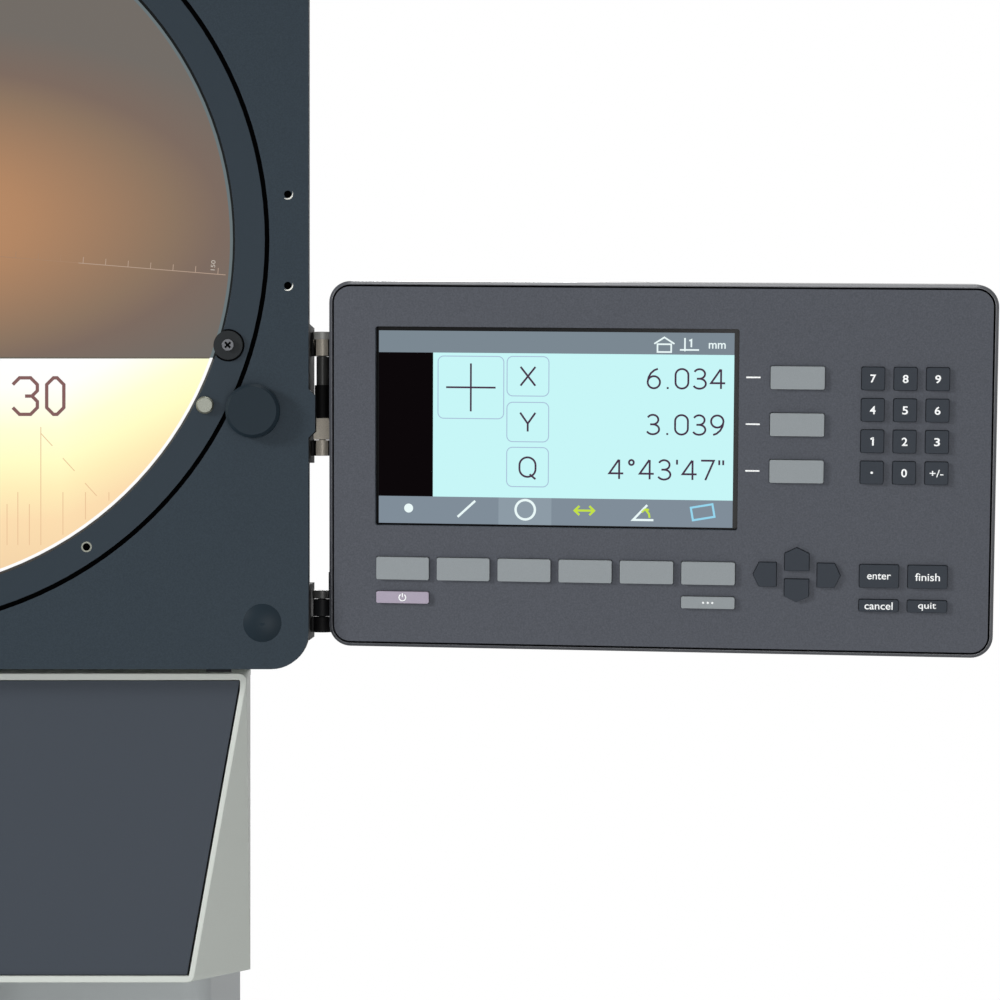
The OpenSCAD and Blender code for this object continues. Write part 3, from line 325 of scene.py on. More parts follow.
# painted highlight: bright steel for the lit crescents at the hood holes
bright_steel = surface("bright_steel", srgb(170, 170, 165), 0.35, metal=1.0)
dull_steel = surface("dull_steel", srgb(116, 118, 110), 0.45, metal=1.0, grain=0.25)
dark_steel = surface("dark_steel", srgb(80, 81, 84), 0.4, metal=1.0)
nickel = surface("nickel", srgb(212, 204, 190), 0.45, metal=0.2, grain=0.12)
barrel_grey = surface("barrel_grey", srgb(84, 84, 83), 0.4, metal=0.3)
lug_grey = surface("lug_grey", srgb(196, 196, 192), 0.45, metal=0.2)
shroud_paint = surface("shroud_paint", srgb(200, 205, 199), 0.45, grain=0.02, edge=0.8)
shroud_dark = surface("shroud_dark", srgb(62, 68, 76), 0.55, grain=0.06)
head_paint = surface("head_paint", srgb(196, 200, 199), 0.5, grain=0.03, edge=0.8)
stand_paint = surface("stand_paint", srgb(186, 191, 192), 0.5, grain=0.03, edge=1.0)
stage_paint = surface("stage_paint", srgb(150, 156, 160), 0.45, grain=0.04, edge=0.8)
ground_steel = surface("ground_steel", srgb(176, 178, 178), 0.5, metal=1.0, grain=0.05)
lens_black = surface("lens_black", srgb(32, 33, 36), 0.35, grain=0.02)
case_plastic = surface("case_plastic", srgb(68, 70, 75), 0.3, shine=0.5, grain=0.05, edge=0.4)
panel_plastic = surface("panel_plastic", srgb(77, 80, 87), 0.6,
                        grain=0.14, grain_size=0.7, bump=0.08)
board_green = surface("board_green", srgb(26, 74, 44), 0.4)
display_black = surface("display_black", srgb(10, 11, 12), 0.2)
key_grey = surface("key_grey", srgb(139, 145, 148), 0.6, grain=0.04)
key_dark = surface("key_dark", srgb(49, 54, 61), 0.55, grain=0.05)
key_mauve = surface("key_mauve", srgb(163, 154, 170), 0.6, grain=0.03)
print_white = surface("print_white", srgb(250, 252, 252), 0.6, grain=0.0)
mirror_finish = surface("mirror_finish", srgb(225, 228, 230), 0.05,
                        metal=1.0, grain=0.0, bump=0.0)
stage_clear = clear_glass("stage_clear", srgb(225, 240, 244))
lens_clear = clear_glass("lens_clear", srgb(190, 200, 235))
picture = projected_picture("projected_picture")
picture_ink = glow("picture_ink", srgb(132, 96, 94))
picture_faint = glow("picture_faint", srgb(232, 194, 152))
graticule = glow("graticule", srgb(184, 160, 142))
graticule_faint = glow("graticule_faint", srgb(166, 132, 106))
graticule_pale = glow("graticule_pale", srgb(196, 188, 178))
lcd_pale = glow("lcd_pale", srgb(199, 246, 247))
lcd_bar = glow("lcd_bar", srgb(123, 136, 146))
lcd_low = glow("lcd_low", srgb(128, 141, 153))
lcd_cell = glow("lcd_cell", srgb(141, 155, 166))
lcd_black = glow("lcd_black", srgb(12, 8, 10))
lcd_line = glow("lcd_line", srgb(168, 190, 215))
lcd_ink = glow("lcd_ink", srgb(72, 52, 72))
lcd_white = glow("lcd_white", srgb(236, 250, 250))
lcd_green = glow("lcd_green", srgb(196, 226, 70))
lcd_blue = glow("lcd_blue", srgb(150, 214, 238))

# The first finish covers a node; the others are for some of its faces, chosen further down
FINISH = {
    "base_casting": [stand_paint],
    "column": [stand_paint],
    "head_housing": [head_paint, painted_shade_black],
    "screen_plate": [plate_paint, plate_edge_shade, painted_shade_black],
    "plate_caps": [cap_finish],
    "lens_shroud": [shroud_paint],
    "shroud_panel": [shroud_dark],
    "projection_lens": [lens_black, lens_clear],
    "fold_mirrors": [mirror_finish],
    "lamp_house": [lens_black, lens_clear],
    "wall_bracket": [bracket_black, nickel, lug_grey],
    "power_inlet": [black_plastic],
    "screen_ring": [ring_finish, ring_groove, painted_shade_black],
    "screen_glass": [picture],
    "chart_clips": [clip_black],
    "ring_screws": [painted_shade_black, dark_steel, dull_steel],
    "rotation_knob": [cap_finish],
    "knee": [stage_paint],
    "y_slide": [stage_paint],
    "x_slide": [ground_steel],
    "stage_glass": [stage_clear],
    "x_handwheel": [black_plastic],
    "y_handwheel": [black_plastic],
    "focus_handwheel": [black_plastic],
    "swing_bracket": [bracket_black, nickel, barrel_grey],
    "readout_case": [case_plastic, painted_shade_black],
    "readout_panel": [panel_plastic],
    "display_module": [board_green, display_black],
    "friction_nut": [black_plastic],
    "key_power": [key_mauve],
}
GREY_KEYS = ("key_soft_", "key_axis_", "key_menu")


def key_finish(name):
    return [key_grey if name.startswith(GREY_KEYS) else key_dark]


def dress(node):
    """Gives a CAD node its finishes; the first one covers every face."""
    mesh = NODES[node].data
    mesh.materials.clear()
    for material in FINISH[node] if node in FINISH else key_finish(node):
        mesh.materials.append(material)
    for face in mesh.polygons:
        face.material_index = 0


def repaint(node, test, place=1):
    """Gives another of a node's finishes to the faces that pass a test."""
    mesh = NODES[node].data
    for face in mesh.polygons:
        if test(face):
            face.material_index = place


for node in NODES:
    dress(node)


# Faces with a finish of their own; a face looks one way if its normal reaches a share of it

SQUARELY = 0.9
MOSTLY = 0.7
HALF = 0.5
SLIGHTLY = 0.3


def faces_front(face):
    return face.normal.y < -SQUARELY


def near_axis(face, axis, radius):
    offset = Vector((face.center.x - axis.x, face.center.y - axis.y))
    return offset.length < radius * MM


def from_screen_axis(face):
    """Distance of a face's middle from the screen's axis, in millimetres."""
    offset = Vector((face.center.x - SCREEN_CENTRE.x, face.center.z - SCREEN_CENTRE.z))
    return offset.length / MM


# Glass in the barrels, the display's frame, and painted shade: black on the floor of the seam
# around the panel
LENS_BORE = 19.9
LAMP_BORE = 27.9
DISPLAY_FRAME_T = 6
SEAM_DEPTH = 2.5
repaint("projection_lens", lambda f: near_axis(f, LENS_AXIS, LENS_BORE) and abs(f.normal.z) > HALF)
repaint("lamp_house", lambda f: near_axis(f, LAMP_AXIS, LAMP_BORE) and f.normal.z > SLIGHTLY)
repaint("display_module", lambda f: f.center.dot(INWARD) < DISPLAY_FACE + DISPLAY_FRAME_T * MM)
repaint("readout_case", lambda f: f.normal.dot(INWARD) < -SQUARELY
        and f.center.dot(INWARD) > CASE_FACE + SEAM_DEPTH * MM)

# Screw heads and the bright peg on the ring; the screws' other faces, such as the cross recesses,
# keep a black that is painted shade
HEAD_PROUD = 2.4
PEG_REACH = 10
PEG_ANGLE = math.radians(26.9)
PEG_R = 161.7
peg_way = Vector((math.cos(PEG_ANGLE), 0, -math.sin(PEG_ANGLE)))
peg_place = SCREEN_CENTRE + peg_way * PEG_R * MM


def on_head(face):
    return faces_front(face) and face.center.y < PLATE_FRONT - HEAD_PROUD * MM


def on_peg(face):
    offset = Vector((face.center.x - peg_place.x, face.center.z - peg_place.z))
    return offset.length < PEG_REACH * MM


repaint("ring_screws", on_head)
repaint("ring_screws", on_peg, 2)

# Painted shade: near-black on the ring's bevel, in its hole and on its outer side, on the plate's
# edges, seam and holes, and on the head's face behind the plate, all darkened for the shade that
# falls there
BEVEL_R = 157.3
SEAM_R = 172.9
HOLE_DEPTH = 0.3
HOOD_HOLE_INSET = 9.2
HOOD_HOLE_X = -plate_low.x / MM - HOOD_HOLE_INSET
HOOD_HOLE_Z = 20.2
HOLE_REACH = 2.5


def in_ring_hole(face):
    return face.center.y > RING_FRONT + HOLE_DEPTH * MM and from_screen_axis(face) > BEVEL_R


def on_plate_edge(face):
    return abs(face.normal.y) < HALF or face.center.y > PLATE_FRONT + HOLE_DEPTH * MM


def in_hood_hole(face):
    x, z = abs(face.center.x) / MM, abs(face.center.z - SCREEN_CENTRE.z) / MM
    return math.hypot(x - HOOD_HOLE_X, z - HOOD_HOLE_Z) < HOLE_REACH and not faces_front(face)


# painted shade: the ring's inner bevel made near-black
repaint("screen_ring", lambda f: from_screen_axis(f) < BEVEL_R)
# painted shade: black in the ring's chart hole and along its outer side at the seam
repaint("screen_ring", in_ring_hole, 2)
# painted shade: near-black on the plate's side walls and recessed faces, black in its seam and hood
# holes
repaint("screen_plate", on_plate_edge)
repaint("screen_plate", lambda f: abs(f.normal.y) < HALF and from_screen_axis(f) < SEAM_R, 2)
repaint("screen_plate", in_hood_hole, 2)
# painted shade: black on the head's face behind the plate, seen through the hood holes
repaint("head_housing", lambda f: faces_front(f) and f.center.y < PLATE_BACK + HOLE_DEPTH * MM)

# Bare metal on the hinge; its levels are counted down from the screen's centre
FOOT_TOP = SCREEN_CENTRE.z - 130 * MM
FOOT_PLATE_LOW = SCREEN_CENTRE.z - 159.9 * MM
FOOT_PLATE_TOP = SCREEN_CENTRE.z - 155.5 * MM
BLOCK_TOP = SCREEN_CENTRE.z - 78 * MM
COLLAR_TOP = SCREEN_CENTRE.z - 62.9 * MM
CAP_LOW = SCREEN_CENTRE.z - 42.5 * MM
LUG_REACH = 4
BLOCK_REACH = 5.2
BARREL_REACH = 3.2


def on_lug(face):
    return face.center.x > HINGE_AXIS.x - LUG_REACH * MM


def on_hinge(face, low, high, reach):
    return low < face.center.z < high and near_axis(face, HINGE_AXIS, reach)


# Only the lugs' front-facing faces get nickel; their other faces keep the bracket's black, which on
# them also stands in for painted shade
repaint("wall_bracket", lambda f: f.center.z > FOOT_TOP and on_lug(f) and f.normal.y < -MOSTLY)
repaint("wall_bracket", lambda f: f.center.z > CAP_LOW and on_lug(f), 2)
repaint("swing_bracket", lambda f: on_hinge(f, FOOT_TOP, BLOCK_TOP, BLOCK_REACH))
repaint("swing_bracket", lambda f: on_hinge(f, COLLAR_TOP, math.inf, BARREL_REACH), 2)
repaint("swing_bracket", lambda f: on_hinge(f, FOOT_PLATE_LOW, FOOT_PLATE_TOP, BLOCK_REACH), 2)


# Printed and lit marks: thin pieces laid on a face and carried by a body, in millimetres

PRINT_T = 0.05


def add(name, data, matrix, body, material):
    """Links a piece, puts it in place and lets it ride on a body."""
    data.materials.append(material)
    piece = bpy.data.objects.new(name, data)
    bpy.context.scene.collection.objects.link(piece)
    piece.matrix_world = matrix
    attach(piece, body)
    return piece


def on_readout(u, v, depth):
    """Place on the readout, facing the front."""
    return READOUT @ Matrix.Translation((u * MM, depth * MM, v * MM)) @ FACE_ON


def facing_front(x, z, y):
    """Place on an upright face, from the screen's centre."""
    return Matrix.Translation((x * MM, y, SCREEN_CENTRE.z + z * MM)) @ FACE_ON


def on_screen(x, z, lift):
    """Place on the screen glass, from its centre."""
    return facing_front(x, z, GLASS_FRONT - lift * MM)


def moved(points, u, v, turn=0):
    c, s = math.cos(math.radians(turn)), math.sin(math.radians(turn))
    return [(u + x * c - y * s, v + x * s + y * c) for x, y in points]


def bar(w, h):
    return [(-w / 2, -h / 2), (w / 2, -h / 2), (w / 2, h / 2), (-w / 2, h / 2)]


def circle_outline(r, steps=32):
    turns = [2 * math.pi * i / steps for i in range(steps)]
    return [(r * math.cos(a), r * math.sin(a)) for a in turns]


def rounded_outline(w, h, r, steps=6):
    """Points of a rectangle with round corners."""
    points = []
    for turn, (cx, cy) in enumerate([(1, 1), (-1, 1), (-1, -1), (1, -1)]):
        for step in range(steps + 1):
            a = math.radians(90 * (turn + step / steps))
            x, y = cx * (w / 2 - r), cy * (h / 2 - r)
            points.append((x + r * math.cos(a), y + r * math.sin(a)))
    return points


def arc(cx, cy, rx, ry, start, end, steps=16):
    """Points of part of an ellipse, between two angles in degrees."""
    turns = [math.radians(start + (end - start) * i / steps) for i in range(steps + 1)]
    return [(cx + rx * math.cos(a), cy + ry * math.sin(a)) for a in turns]


def new_mesh(name, verts, faces):
    mesh = bpy.data.meshes.new(name)
    mesh.from_pydata(verts, [], faces)
    return mesh


def patch(name, outline):
    """A thin flat patch."""
    count = len(outline)
    low = [(x * MM, y * MM, 0) for x, y in outline]
    high = [(x * MM, y * MM, PRINT_T * MM) for x, y in outline]
    faces = [tuple(reversed(range(count))), tuple(range(count, 2 * count))]
    for i in range(count):
        j = (i + 1) % count
        faces.append((i, j, j + count, i + count))
    return new_mesh(name, low + high, faces)


def washer(name, inner, outer, steps=32):
    """A thin flat ring."""
    circles = circle_outline(inner, steps) + circle_outline(outer, steps)
    points = [(x * MM, y * MM, z * MM) for z in (0, PRINT_T) for x, y in circles]
    low_in, low_out, high_in, high_out = (range(i * steps, (i + 1) * steps) for i in range(4))
    faces = []
    for i in range(steps):
        j = (i + 1) % steps
        faces.append((low_out[j], low_out[i], low_in[i], low_in[j]))
        faces.append((high_in[j], high_in[i], high_out[i], high_out[j]))
        faces.append((low_out[i], low_out[j], high_out[j], high_out[i]))
        faces.append((low_in[j], low_in[i], high_in[i], high_in[j]))
    return new_mesh(name, points, faces)


def stroke(name, points, width, closed=False):
    """A flat line of even width through points, with mitred corners."""
    way = [Vector(point) for point in points]
    count = len(way)
    rails = []
    for i, point in enumerate(way):
        before = point - way[i - 1] if closed or i > 0 else way[1] - point
        after = way[(i + 1) % count] - point if closed or i < count - 1 else before
        left = Vector((-after.y, after.x)).normalized()
        mitre = left + Vector((-before.y, before.x)).normalized()
        mitre *= width / mitre.dot(left) / 2
        rails.append((point + mitre, point - mitre))
    verts = [(p.x * MM, p.y * MM, z * MM) for rail in rails for p in rail for z in (0, PRINT_T)]
    faces = []
    for i in range(count if closed else count - 1):
        a, b = 4 * i, 4 * ((i + 1) % count)
        faces += [(a + 1, a + 3, b + 3, b + 1), (a, b, b + 2, a + 2)]
        faces += [(a, a + 1, b + 1, b), (a + 2, b + 2, b + 3, a + 3)]
    if not closed:
        end = 4 * (count - 1)
        faces += [(0, 2, 3, 1), (end, end + 1, end + 3, end + 2)]
    return new_mesh(name, verts, faces)


def joined(name, parts):
    """One mesh out of several."""
    verts, faces = [], []
    for part in parts:
        faces += [tuple(len(verts) + i for i in face.vertices) for face in part.polygons]
        verts += [tuple(vertex.co) for vertex in part.vertices]
        bpy.data.meshes.remove(part)
    return new_mesh(name, verts, faces)


FONT_SIZE = 10


def lettering(name, words, size, matrix, body, material, weight=0.0):
    """Words fitted to a width and height, centred on their place."""
    curve = bpy.data.curves.new(name, "FONT")
    curve.body = words
    curve.size = FONT_SIZE * MM
    curve.offset = weight * MM
    curve.extrude = PRINT_T / 2 * MM
    curve.materials.append(material)
    piece = bpy.data.objects.new(name, curve)
    bpy.context.scene.collection.objects.link(piece)
    bpy.context.view_layer.update()
    corners = [Vector(c) for c in piece.bound_box]
    low = Vector(map(min, zip(*corners)))
    high = Vector(map(max, zip(*corners)))
    w, h = size
    fit = Matrix.Diagonal((w * MM / (high.x - low.x), h * MM / (high.y - low.y), 1, 1))
    piece.matrix_world = matrix @ fit @ Matrix.Translation(-(low + high) / 2)
    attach(piece, body)
    return piece


# The display's picture, from the middle of the panel: areas first

LCD_LEFT, LCD_RIGHT = -124.4, 32.4
LCD_BOTTOM, LCD_TOP = -26.1, 59.3
BAR_TOP_H = 9.6
BAR_LOW_H = 12.0
BLOCK_W = 24.2
CELL_LEFT, CELL_RIGHT = -70.9, -47.4
LAYER = 0.12


def lcd(level):
    """Depth of a layer of the display's picture."""
    return DISPLAY_DEPTH - PRINT_T - level * LAYER


def lcd_patch(name, left, right, bottom, top, level, material):
    mesh = patch(name, bar(right - left, top - bottom))
    place = on_readout((left + right) / 2, (bottom + top) / 2, lcd(level))
    add(name, mesh, place, "readout", material)


def lcd_stroke(name, points, at, width, material, closed=False, level=1, turn=0):
    mesh = stroke(name, moved(points, *at, turn), width, closed)
    add(name, mesh, on_readout(0, 0, lcd(level)), "readout", material)


block_right = LCD_LEFT + BLOCK_W
mid_bottom = LCD_BOTTOM + BAR_LOW_H
mid_top = LCD_TOP - BAR_TOP_H
lcd_patch("lcd_area", block_right, LCD_RIGHT, mid_bottom, mid_top, 0, lcd_pale)
lcd_patch("lcd_block", LCD_LEFT, block_right, mid_bottom, mid_top, 0, lcd_black)
lcd_patch("lcd_top_bar", LCD_LEFT, LCD_RIGHT, mid_top, LCD_TOP, 0, lcd_bar)
lcd_patch("lcd_low_bar", LCD_LEFT, LCD_RIGHT, LCD_BOTTOM, mid_bottom, 0, lcd_low)
lcd_patch("lcd_low_cell", CELL_LEFT, CELL_RIGHT, LCD_BOTTOM, mid_bottom, 1, lcd_cell)

# Signs of the display as lines on a grid one unit high, each with whether it closes on itself
ZERO = arc(0, 0.69, 0.29, 0.31, 0, 180) + arc(0, 0.31, 0.29, 0.31, 180, 360)
SIX_BOWL = arc(0.01, 0.31, 0.28, 0.31, 0, 345, 23)
SIX_STEM = [(0.19, 1), (0.03, 0.93), (-0.13, 0.77), (-0.23, 0.56), (-0.27, 0.33)]
NINE_BOWL, NINE_STEM = ([(-x, 1 - y) for x, y in line] for line in (SIX_BOWL, SIX_STEM))
THREE_TOP = arc(-0.02, 0.755, 0.25, 0.245, 155, -90) + [(-0.14, 0.51)]
THREE_LOW = [(-0.14, 0.51)] + arc(-0.02, 0.255, 0.29, 0.255, 90, -155)
Q_BODY = arc(0, 0.6, 0.38, 0.42, 0, 180) + arc(0, 0.4, 0.38, 0.42, 180, 360)
SIGNS = {
    "0": [(ZERO, True)],
    "3": [(THREE_TOP, False), (THREE_LOW, False)],
    "4": [([(0.14, 0), (0.14, 1)], False), ([(0.12, 1), (-0.31, 0.29), (0.33, 0.29)], False)],
    "6": [(SIX_BOWL, True), (SIX_STEM, False)],
    "7": [([(-0.29, 1), (0.29, 1), (-0.09, 0)], False)],
    "9": [(NINE_BOWL, True), (NINE_STEM, False)],
    ".": [([(0, -0.03), (0, 0.07)], False)],
    "°": [(arc(0, 0.86, 0.11, 0.13, 0, 330, 11), True)],
    "'": [([(0, 1.03), (0, 0.78)], False)],
    '"': [([(-0.09, 1.03), (-0.09, 0.78)], False), ([(0.09, 1.03), (0.09, 0.78)], False)],
    "X": [([(-0.35, 0), (0.35, 1)], False), ([(-0.35, 1), (0.35, 0)], False)],
    "Y": [([(-0.36, 1), (0, 0.42), (0, 0)], False), ([(0.36, 1), (0, 0.42)], False)],
    "Q": [(Q_BODY, True), ([(0.1, 0.12), (0.38, -0.14)], False)],
}
SIGN_STEP = {".": 0.53, "°": 0.65, "'": 0.36, '"': 0.49}
FIGURE_STEP = 0.92
SIGN_WIDTH = 1.13
SIGN_STROKE = 0.85


def lcd_words(name, words, right, v, height):
    """A line of the display's signs, ending at a place and centred on a level."""
    lines = []
    for sign in reversed(words):
        step = SIGN_STEP.get(sign, FIGURE_STEP) * height
        middle = right - step / 2
        for points, closed in SIGNS[sign]:
            points = [(middle + x * SIGN_WIDTH * height, v + (y - 0.5) * height)
                      for x, y in points]
            lines.append(stroke(name, points, SIGN_STROKE, closed))
        right -= step
    add(name, joined(name, lines), on_readout(0, 0, lcd(1)), "readout", lcd_ink)


# Boxes, cross, axis letters and readings
BOX_R = 2.5
BOX_STROKE = 0.4
CROSS_BOX = (29.2, 27.5)
CROSS_AT = (-83.4, 34.45)
CROSS_STROKE = 0.8
CROSS_LEVEL = [(-11, 0), (11, 0)]
CROSS_UPRIGHT = [(0, -10.6), (0, 10.6)]
AXIS_BOX = (18.5, 17.4)
AXIS_BOX_U = -58.1
ROWS = {"X": 39.6, "Y": 19.4, "Q": -0.5}
LETTER_H = 8.3
LETTER_RIGHT = AXIS_BOX_U + FIGURE_STEP * LETTER_H / 2
READINGS = {"X": "6.034", "Y": "3.039", "Q": "4°43'47\""}
READING_H = 8.55
READING_RIGHT = 29.3
READING_DROP = 0.45

cross_outline = rounded_outline(*CROSS_BOX, BOX_R)
axis_outline = rounded_outline(*AXIS_BOX, BOX_R)
lcd_stroke("lcd_cross_box", cross_outline, CROSS_AT, BOX_STROKE, lcd_line, True)
lcd_stroke("lcd_cross_level", CROSS_LEVEL, CROSS_AT, CROSS_STROKE, lcd_ink)
lcd_stroke("lcd_cross_upright", CROSS_UPRIGHT, CROSS_AT, CROSS_STROKE, lcd_ink)
for axis, row_v in ROWS.items():
    lcd_stroke(f"lcd_box_{axis}", axis_outline, (AXIS_BOX_U, row_v), BOX_STROKE, lcd_line, True)
    lcd_words(f"lcd_letter_{axis}", axis, LETTER_RIGHT, row_v, LETTER_H)
    reading_v = row_v - READING_DROP
    lcd_words(f"lcd_reading_{axis}", READINGS[axis], READING_RIGHT, reading_v, READING_H)

# Icons in the upper bar
ICON_TOP_V = 53.8
TOP_STROKE = 0.7
HOUSE_AT = (1.8, ICON_TOP_V)
AXES_AT = (12.4, ICON_TOP_V)
ONE_AT = (13.4, ICON_TOP_V)
UNIT_AT = (24.9, ICON_TOP_V - 0.1)
UNIT_SIZE = (7.4, 2.5)
UNIT_WEIGHT = 0.12
HOUSE_ROOF = [(-4.4, 0.6), (0, 3.4), (4.4, 0.6)]
HOUSE_WALL = [(-3, 0.4), (-3, -3), (3, -3), (3, 0.4)]
AXES_UP = [(-1.6, 3.2), (-1.6, -2.6)]
AXES_LEVEL = [(-3.8, -2), (4.6, -2)]
AXES_ONE = [(-0.7, 2.0), (0.2, 2.4), (0.2, -0.8)]

lcd_stroke("icon_house_roof", HOUSE_ROOF, HOUSE_AT, TOP_STROKE, lcd_white)
lcd_stroke("icon_house_wall", HOUSE_WALL, HOUSE_AT, TOP_STROKE, lcd_white, True)
lcd_stroke("icon_axes_up", AXES_UP, AXES_AT, TOP_STROKE, lcd_white)
lcd_stroke("icon_axes_level", AXES_LEVEL, AXES_AT, TOP_STROKE, lcd_white)
lcd_stroke("icon_axes_one", AXES_ONE, ONE_AT, TOP_STROKE, lcd_white)
lettering("icon_unit", "mm", UNIT_SIZE, on_readout(*UNIT_AT, lcd(1)), "readout",
          lcd_white, UNIT_WEIGHT)

# Icons in the lower bar
ICON_LOW_V = -19.4
POINT_AT = (-111, ICON_LOW_V)
LINE_AT = (-85.2, ICON_LOW_V)
CIRCLE_AT = (-59, ICON_LOW_V)
DISTANCE_AT = (-32.8, ICON_LOW_V)
ANGLE_AT = (-6.9, ICON_LOW_V - 0.6)
PLANE_AT = (19.3, ICON_LOW_V)
POINT_R = 2.0
LINE_ENDS = [(-3.9, -3.6), (3.9, 3.6)]
LINE_STROKE = 1.0
CIRCLE_R = 4.3
CIRCLE_STROKE = 1.05
DISTANCE_ENDS = [(-4.2, 0), (4.2, 0)]
DISTANCE_TIP = [(2.2, 2), (4.3, 0), (2.2, -2)]
DISTANCE_STROKE = 0.95
ANGLE_LEGS = [(1.8, 3.4), (-4.4, -3.2), (4.6, -3.2)]
ANGLE_ARC = [(0.9, 1.6), (2.6, -0.4), (2.9, -2.2)]
ANGLE_TIP = [(-0.6, 0.2), (0.9, 1.6), (2.6, 1.3)]
ANGLE_STROKE = 0.95
ANGLE_ARC_STROKE = 0.85
PLANE_SIZE = (9.6, 5.6)
PLANE_TURN = 10
PLANE_STROKE = 0.9

add("icon_point", patch("icon_point", circle_outline(POINT_R)), on_readout(*POINT_AT, lcd(1)),
    "readout", lcd_white)
lcd_stroke("icon_line", LINE_ENDS, LINE_AT, LINE_STROKE, lcd_white)
lcd_stroke("icon_circle", circle_outline(CIRCLE_R), CIRCLE_AT, CIRCLE_STROKE, lcd_white, True, 2)
lcd_stroke("icon_distance", DISTANCE_ENDS, DISTANCE_AT, DISTANCE_STROKE, lcd_green)
for side in (-1, 1):
    tip = [(side * x, y) for x, y in DISTANCE_TIP]
    lcd_stroke(f"icon_distance_tip_{side}", tip, DISTANCE_AT, DISTANCE_STROKE, lcd_green)
lcd_stroke("icon_angle", ANGLE_LEGS, ANGLE_AT, ANGLE_STROKE, lcd_white)
lcd_stroke("icon_angle_arc", ANGLE_ARC, ANGLE_AT, ANGLE_ARC_STROKE, lcd_green)
lcd_stroke("icon_angle_tip", ANGLE_TIP, ANGLE_AT, ANGLE_ARC_STROKE, lcd_green)
lcd_stroke("icon_plane", bar(*PLANE_SIZE), PLANE_AT, PLANE_STROKE, lcd_blue, True,
           turn=PLANE_TURN)


# Printed marks on the panel and on the keys

DASH = (6.2, 0.7)
DASH_U = 40.9
AXIS_KEY_V = [40.3, 19.9, -0.5]
for number, dash_v in enumerate(AXIS_KEY_V):
    name = f"panel_dash_{number}"
    place = on_readout(DASH_U, dash_v, -PRINT_T / 2)
    add(name, patch(name, bar(*DASH)), place, "readout", print_white)


def key_centre(name):
    """Middle of a key's face on the panel."""
    back = READOUT.inverted()
    places = [back @ v.co for v in NODES[name].data.vertices]
    return [(min(p[i] for p in places) + max(p[i] for p in places)) / 2 / MM for i in (0, 2)]


def key_place(name):
    return on_readout(*key_centre(name), KEY_DEPTH - PRINT_T / 2)


def print_mesh(name, mesh, key):
    add(name, mesh, key_place(key), key, print_white)


DIGITS = (0, 2, 3, 4, 5, 6, 7, 8, 9)
DIGIT_SIZE = (2.5, 3.6)
DIGIT_WEIGHT = 0.2
ONE_LINES = [[(0.3, -1.8), (0.3, 1.8)], [(-0.75, 0.95), (0.3, 1.5)]]
ONE_STROKE = 0.8
WORDS = {
    "key_enter": ("enter", (10.3, 2.7)),
    "key_finish": ("finish", (10.7, 3.4)),
    "key_cancel": ("cancel", (12.2, 3.3)),
    "key_quit": ("quit", (7.8, 3.6)),
    "key_sign": ("+/-", (6.0, 3.2)),
}
WORD_WEIGHT = 0.1
KEY_POINT_R = 0.55
for digit in DIGITS:
    key = f"key_{digit}"
    lettering(f"print_{key}", str(digit), DIGIT_SIZE, key_place(key), key, print_white,
              DIGIT_WEIGHT)
one = joined("print_key_1", [stroke("line", line, ONE_STROKE) for line in ONE_LINES])
print_mesh("print_key_1", one, "key_1")
for key, (words, size) in WORDS.items():
    lettering(f"print_{key}", words, size, key_place(key), key, print_white, WORD_WEIGHT)
print_mesh("print_key_point", patch("print_key_point", circle_outline(KEY_POINT_R)), "key_point")

POWER_R = 1.5
POWER_GAP = 35
POWER_STEP = 10
POWER_STROKE = 0.5
POWER_BAR = [(0, 0.1), (0, 1.9)]
power_turns = [math.radians(a) for a in range(POWER_GAP, 361 - POWER_GAP, POWER_STEP)]
power_ring = [(POWER_R * math.sin(a), POWER_R * math.cos(a)) for a in power_turns]
print_mesh("print_power_ring", stroke("print_power_ring", power_ring, POWER_STROKE), "key_power")
print_mesh("print_power_bar", stroke("print_power_bar", POWER_BAR, POWER_STROKE), "key_power")

MENU_PITCH = 2.0
MENU_DOT_R = 0.5
MENU_DOT_STEPS = 16
menu_dot = circle_outline(MENU_DOT_R, MENU_DOT_STEPS)
for step in (-1, 0, 1):
    name = f"print_menu_{step}"
    print_mesh(name, patch(name, moved(menu_dot, step * MENU_PITCH, 0)), "key_menu")


# Bare metal around the drilled holes: a bright edge in the ring; in the plate a painted highlight,
# a crescent on the lower right where light from the upper left would catch each hole's edge

HOLE_R = 1.65
HOLE_EDGE_R = 2.35
CRESCENT_TURN = math.radians(-55)
CRESCENT_REACH = math.radians(85)
CHART_HOLE_R = 163.9
CHART_HOLE_ANGLE = math.radians(-56)


def crescent_outline(inner, outer, steps=24):
    """A ring's lower right part, thinning out to both ends."""
    turns = [2 * i / steps - 1 for i in range(steps + 1)]
    points = []
    for turn in turns:
        a = CRESCENT_TURN + turn * CRESCENT_REACH
        points.append((outer * math.cos(a), outer * math.sin(a)))
    for turn in reversed(turns[1:-1]):
        a = CRESCENT_TURN + turn * CRESCENT_REACH
        r = outer - (outer - inner) * math.cos(turn * math.pi / 2)
        points.append((r * math.cos(a), r * math.sin(a)))
    return points


chart_hole_x = CHART_HOLE_R * math.cos(CHART_HOLE_ANGLE)
chart_hole_z = CHART_HOLE_R * math.sin(CHART_HOLE_ANGLE)
add("chart_hole_edge", washer("chart_hole_edge", HOLE_R, HOLE_EDGE_R),
    facing_front(chart_hole_x, chart_hole_z, RING_FRONT), "screen", dull_steel)
# painted highlight: a bright crescent on the lower right of each hood hole, where light from the
# upper left would catch its edge
for side in (-1, 1):
    for level in (-1, 1):
        name = f"hood_hole_highlight_{side}_{level}"
        place = facing_front(side * HOOD_HOLE_X, level * HOOD_HOLE_Z, PLATE_FRONT)
        mesh = patch(name, crescent_outline(HOLE_R, HOLE_EDGE_R))
        add(name, mesh, place, "frame", bright_steel)


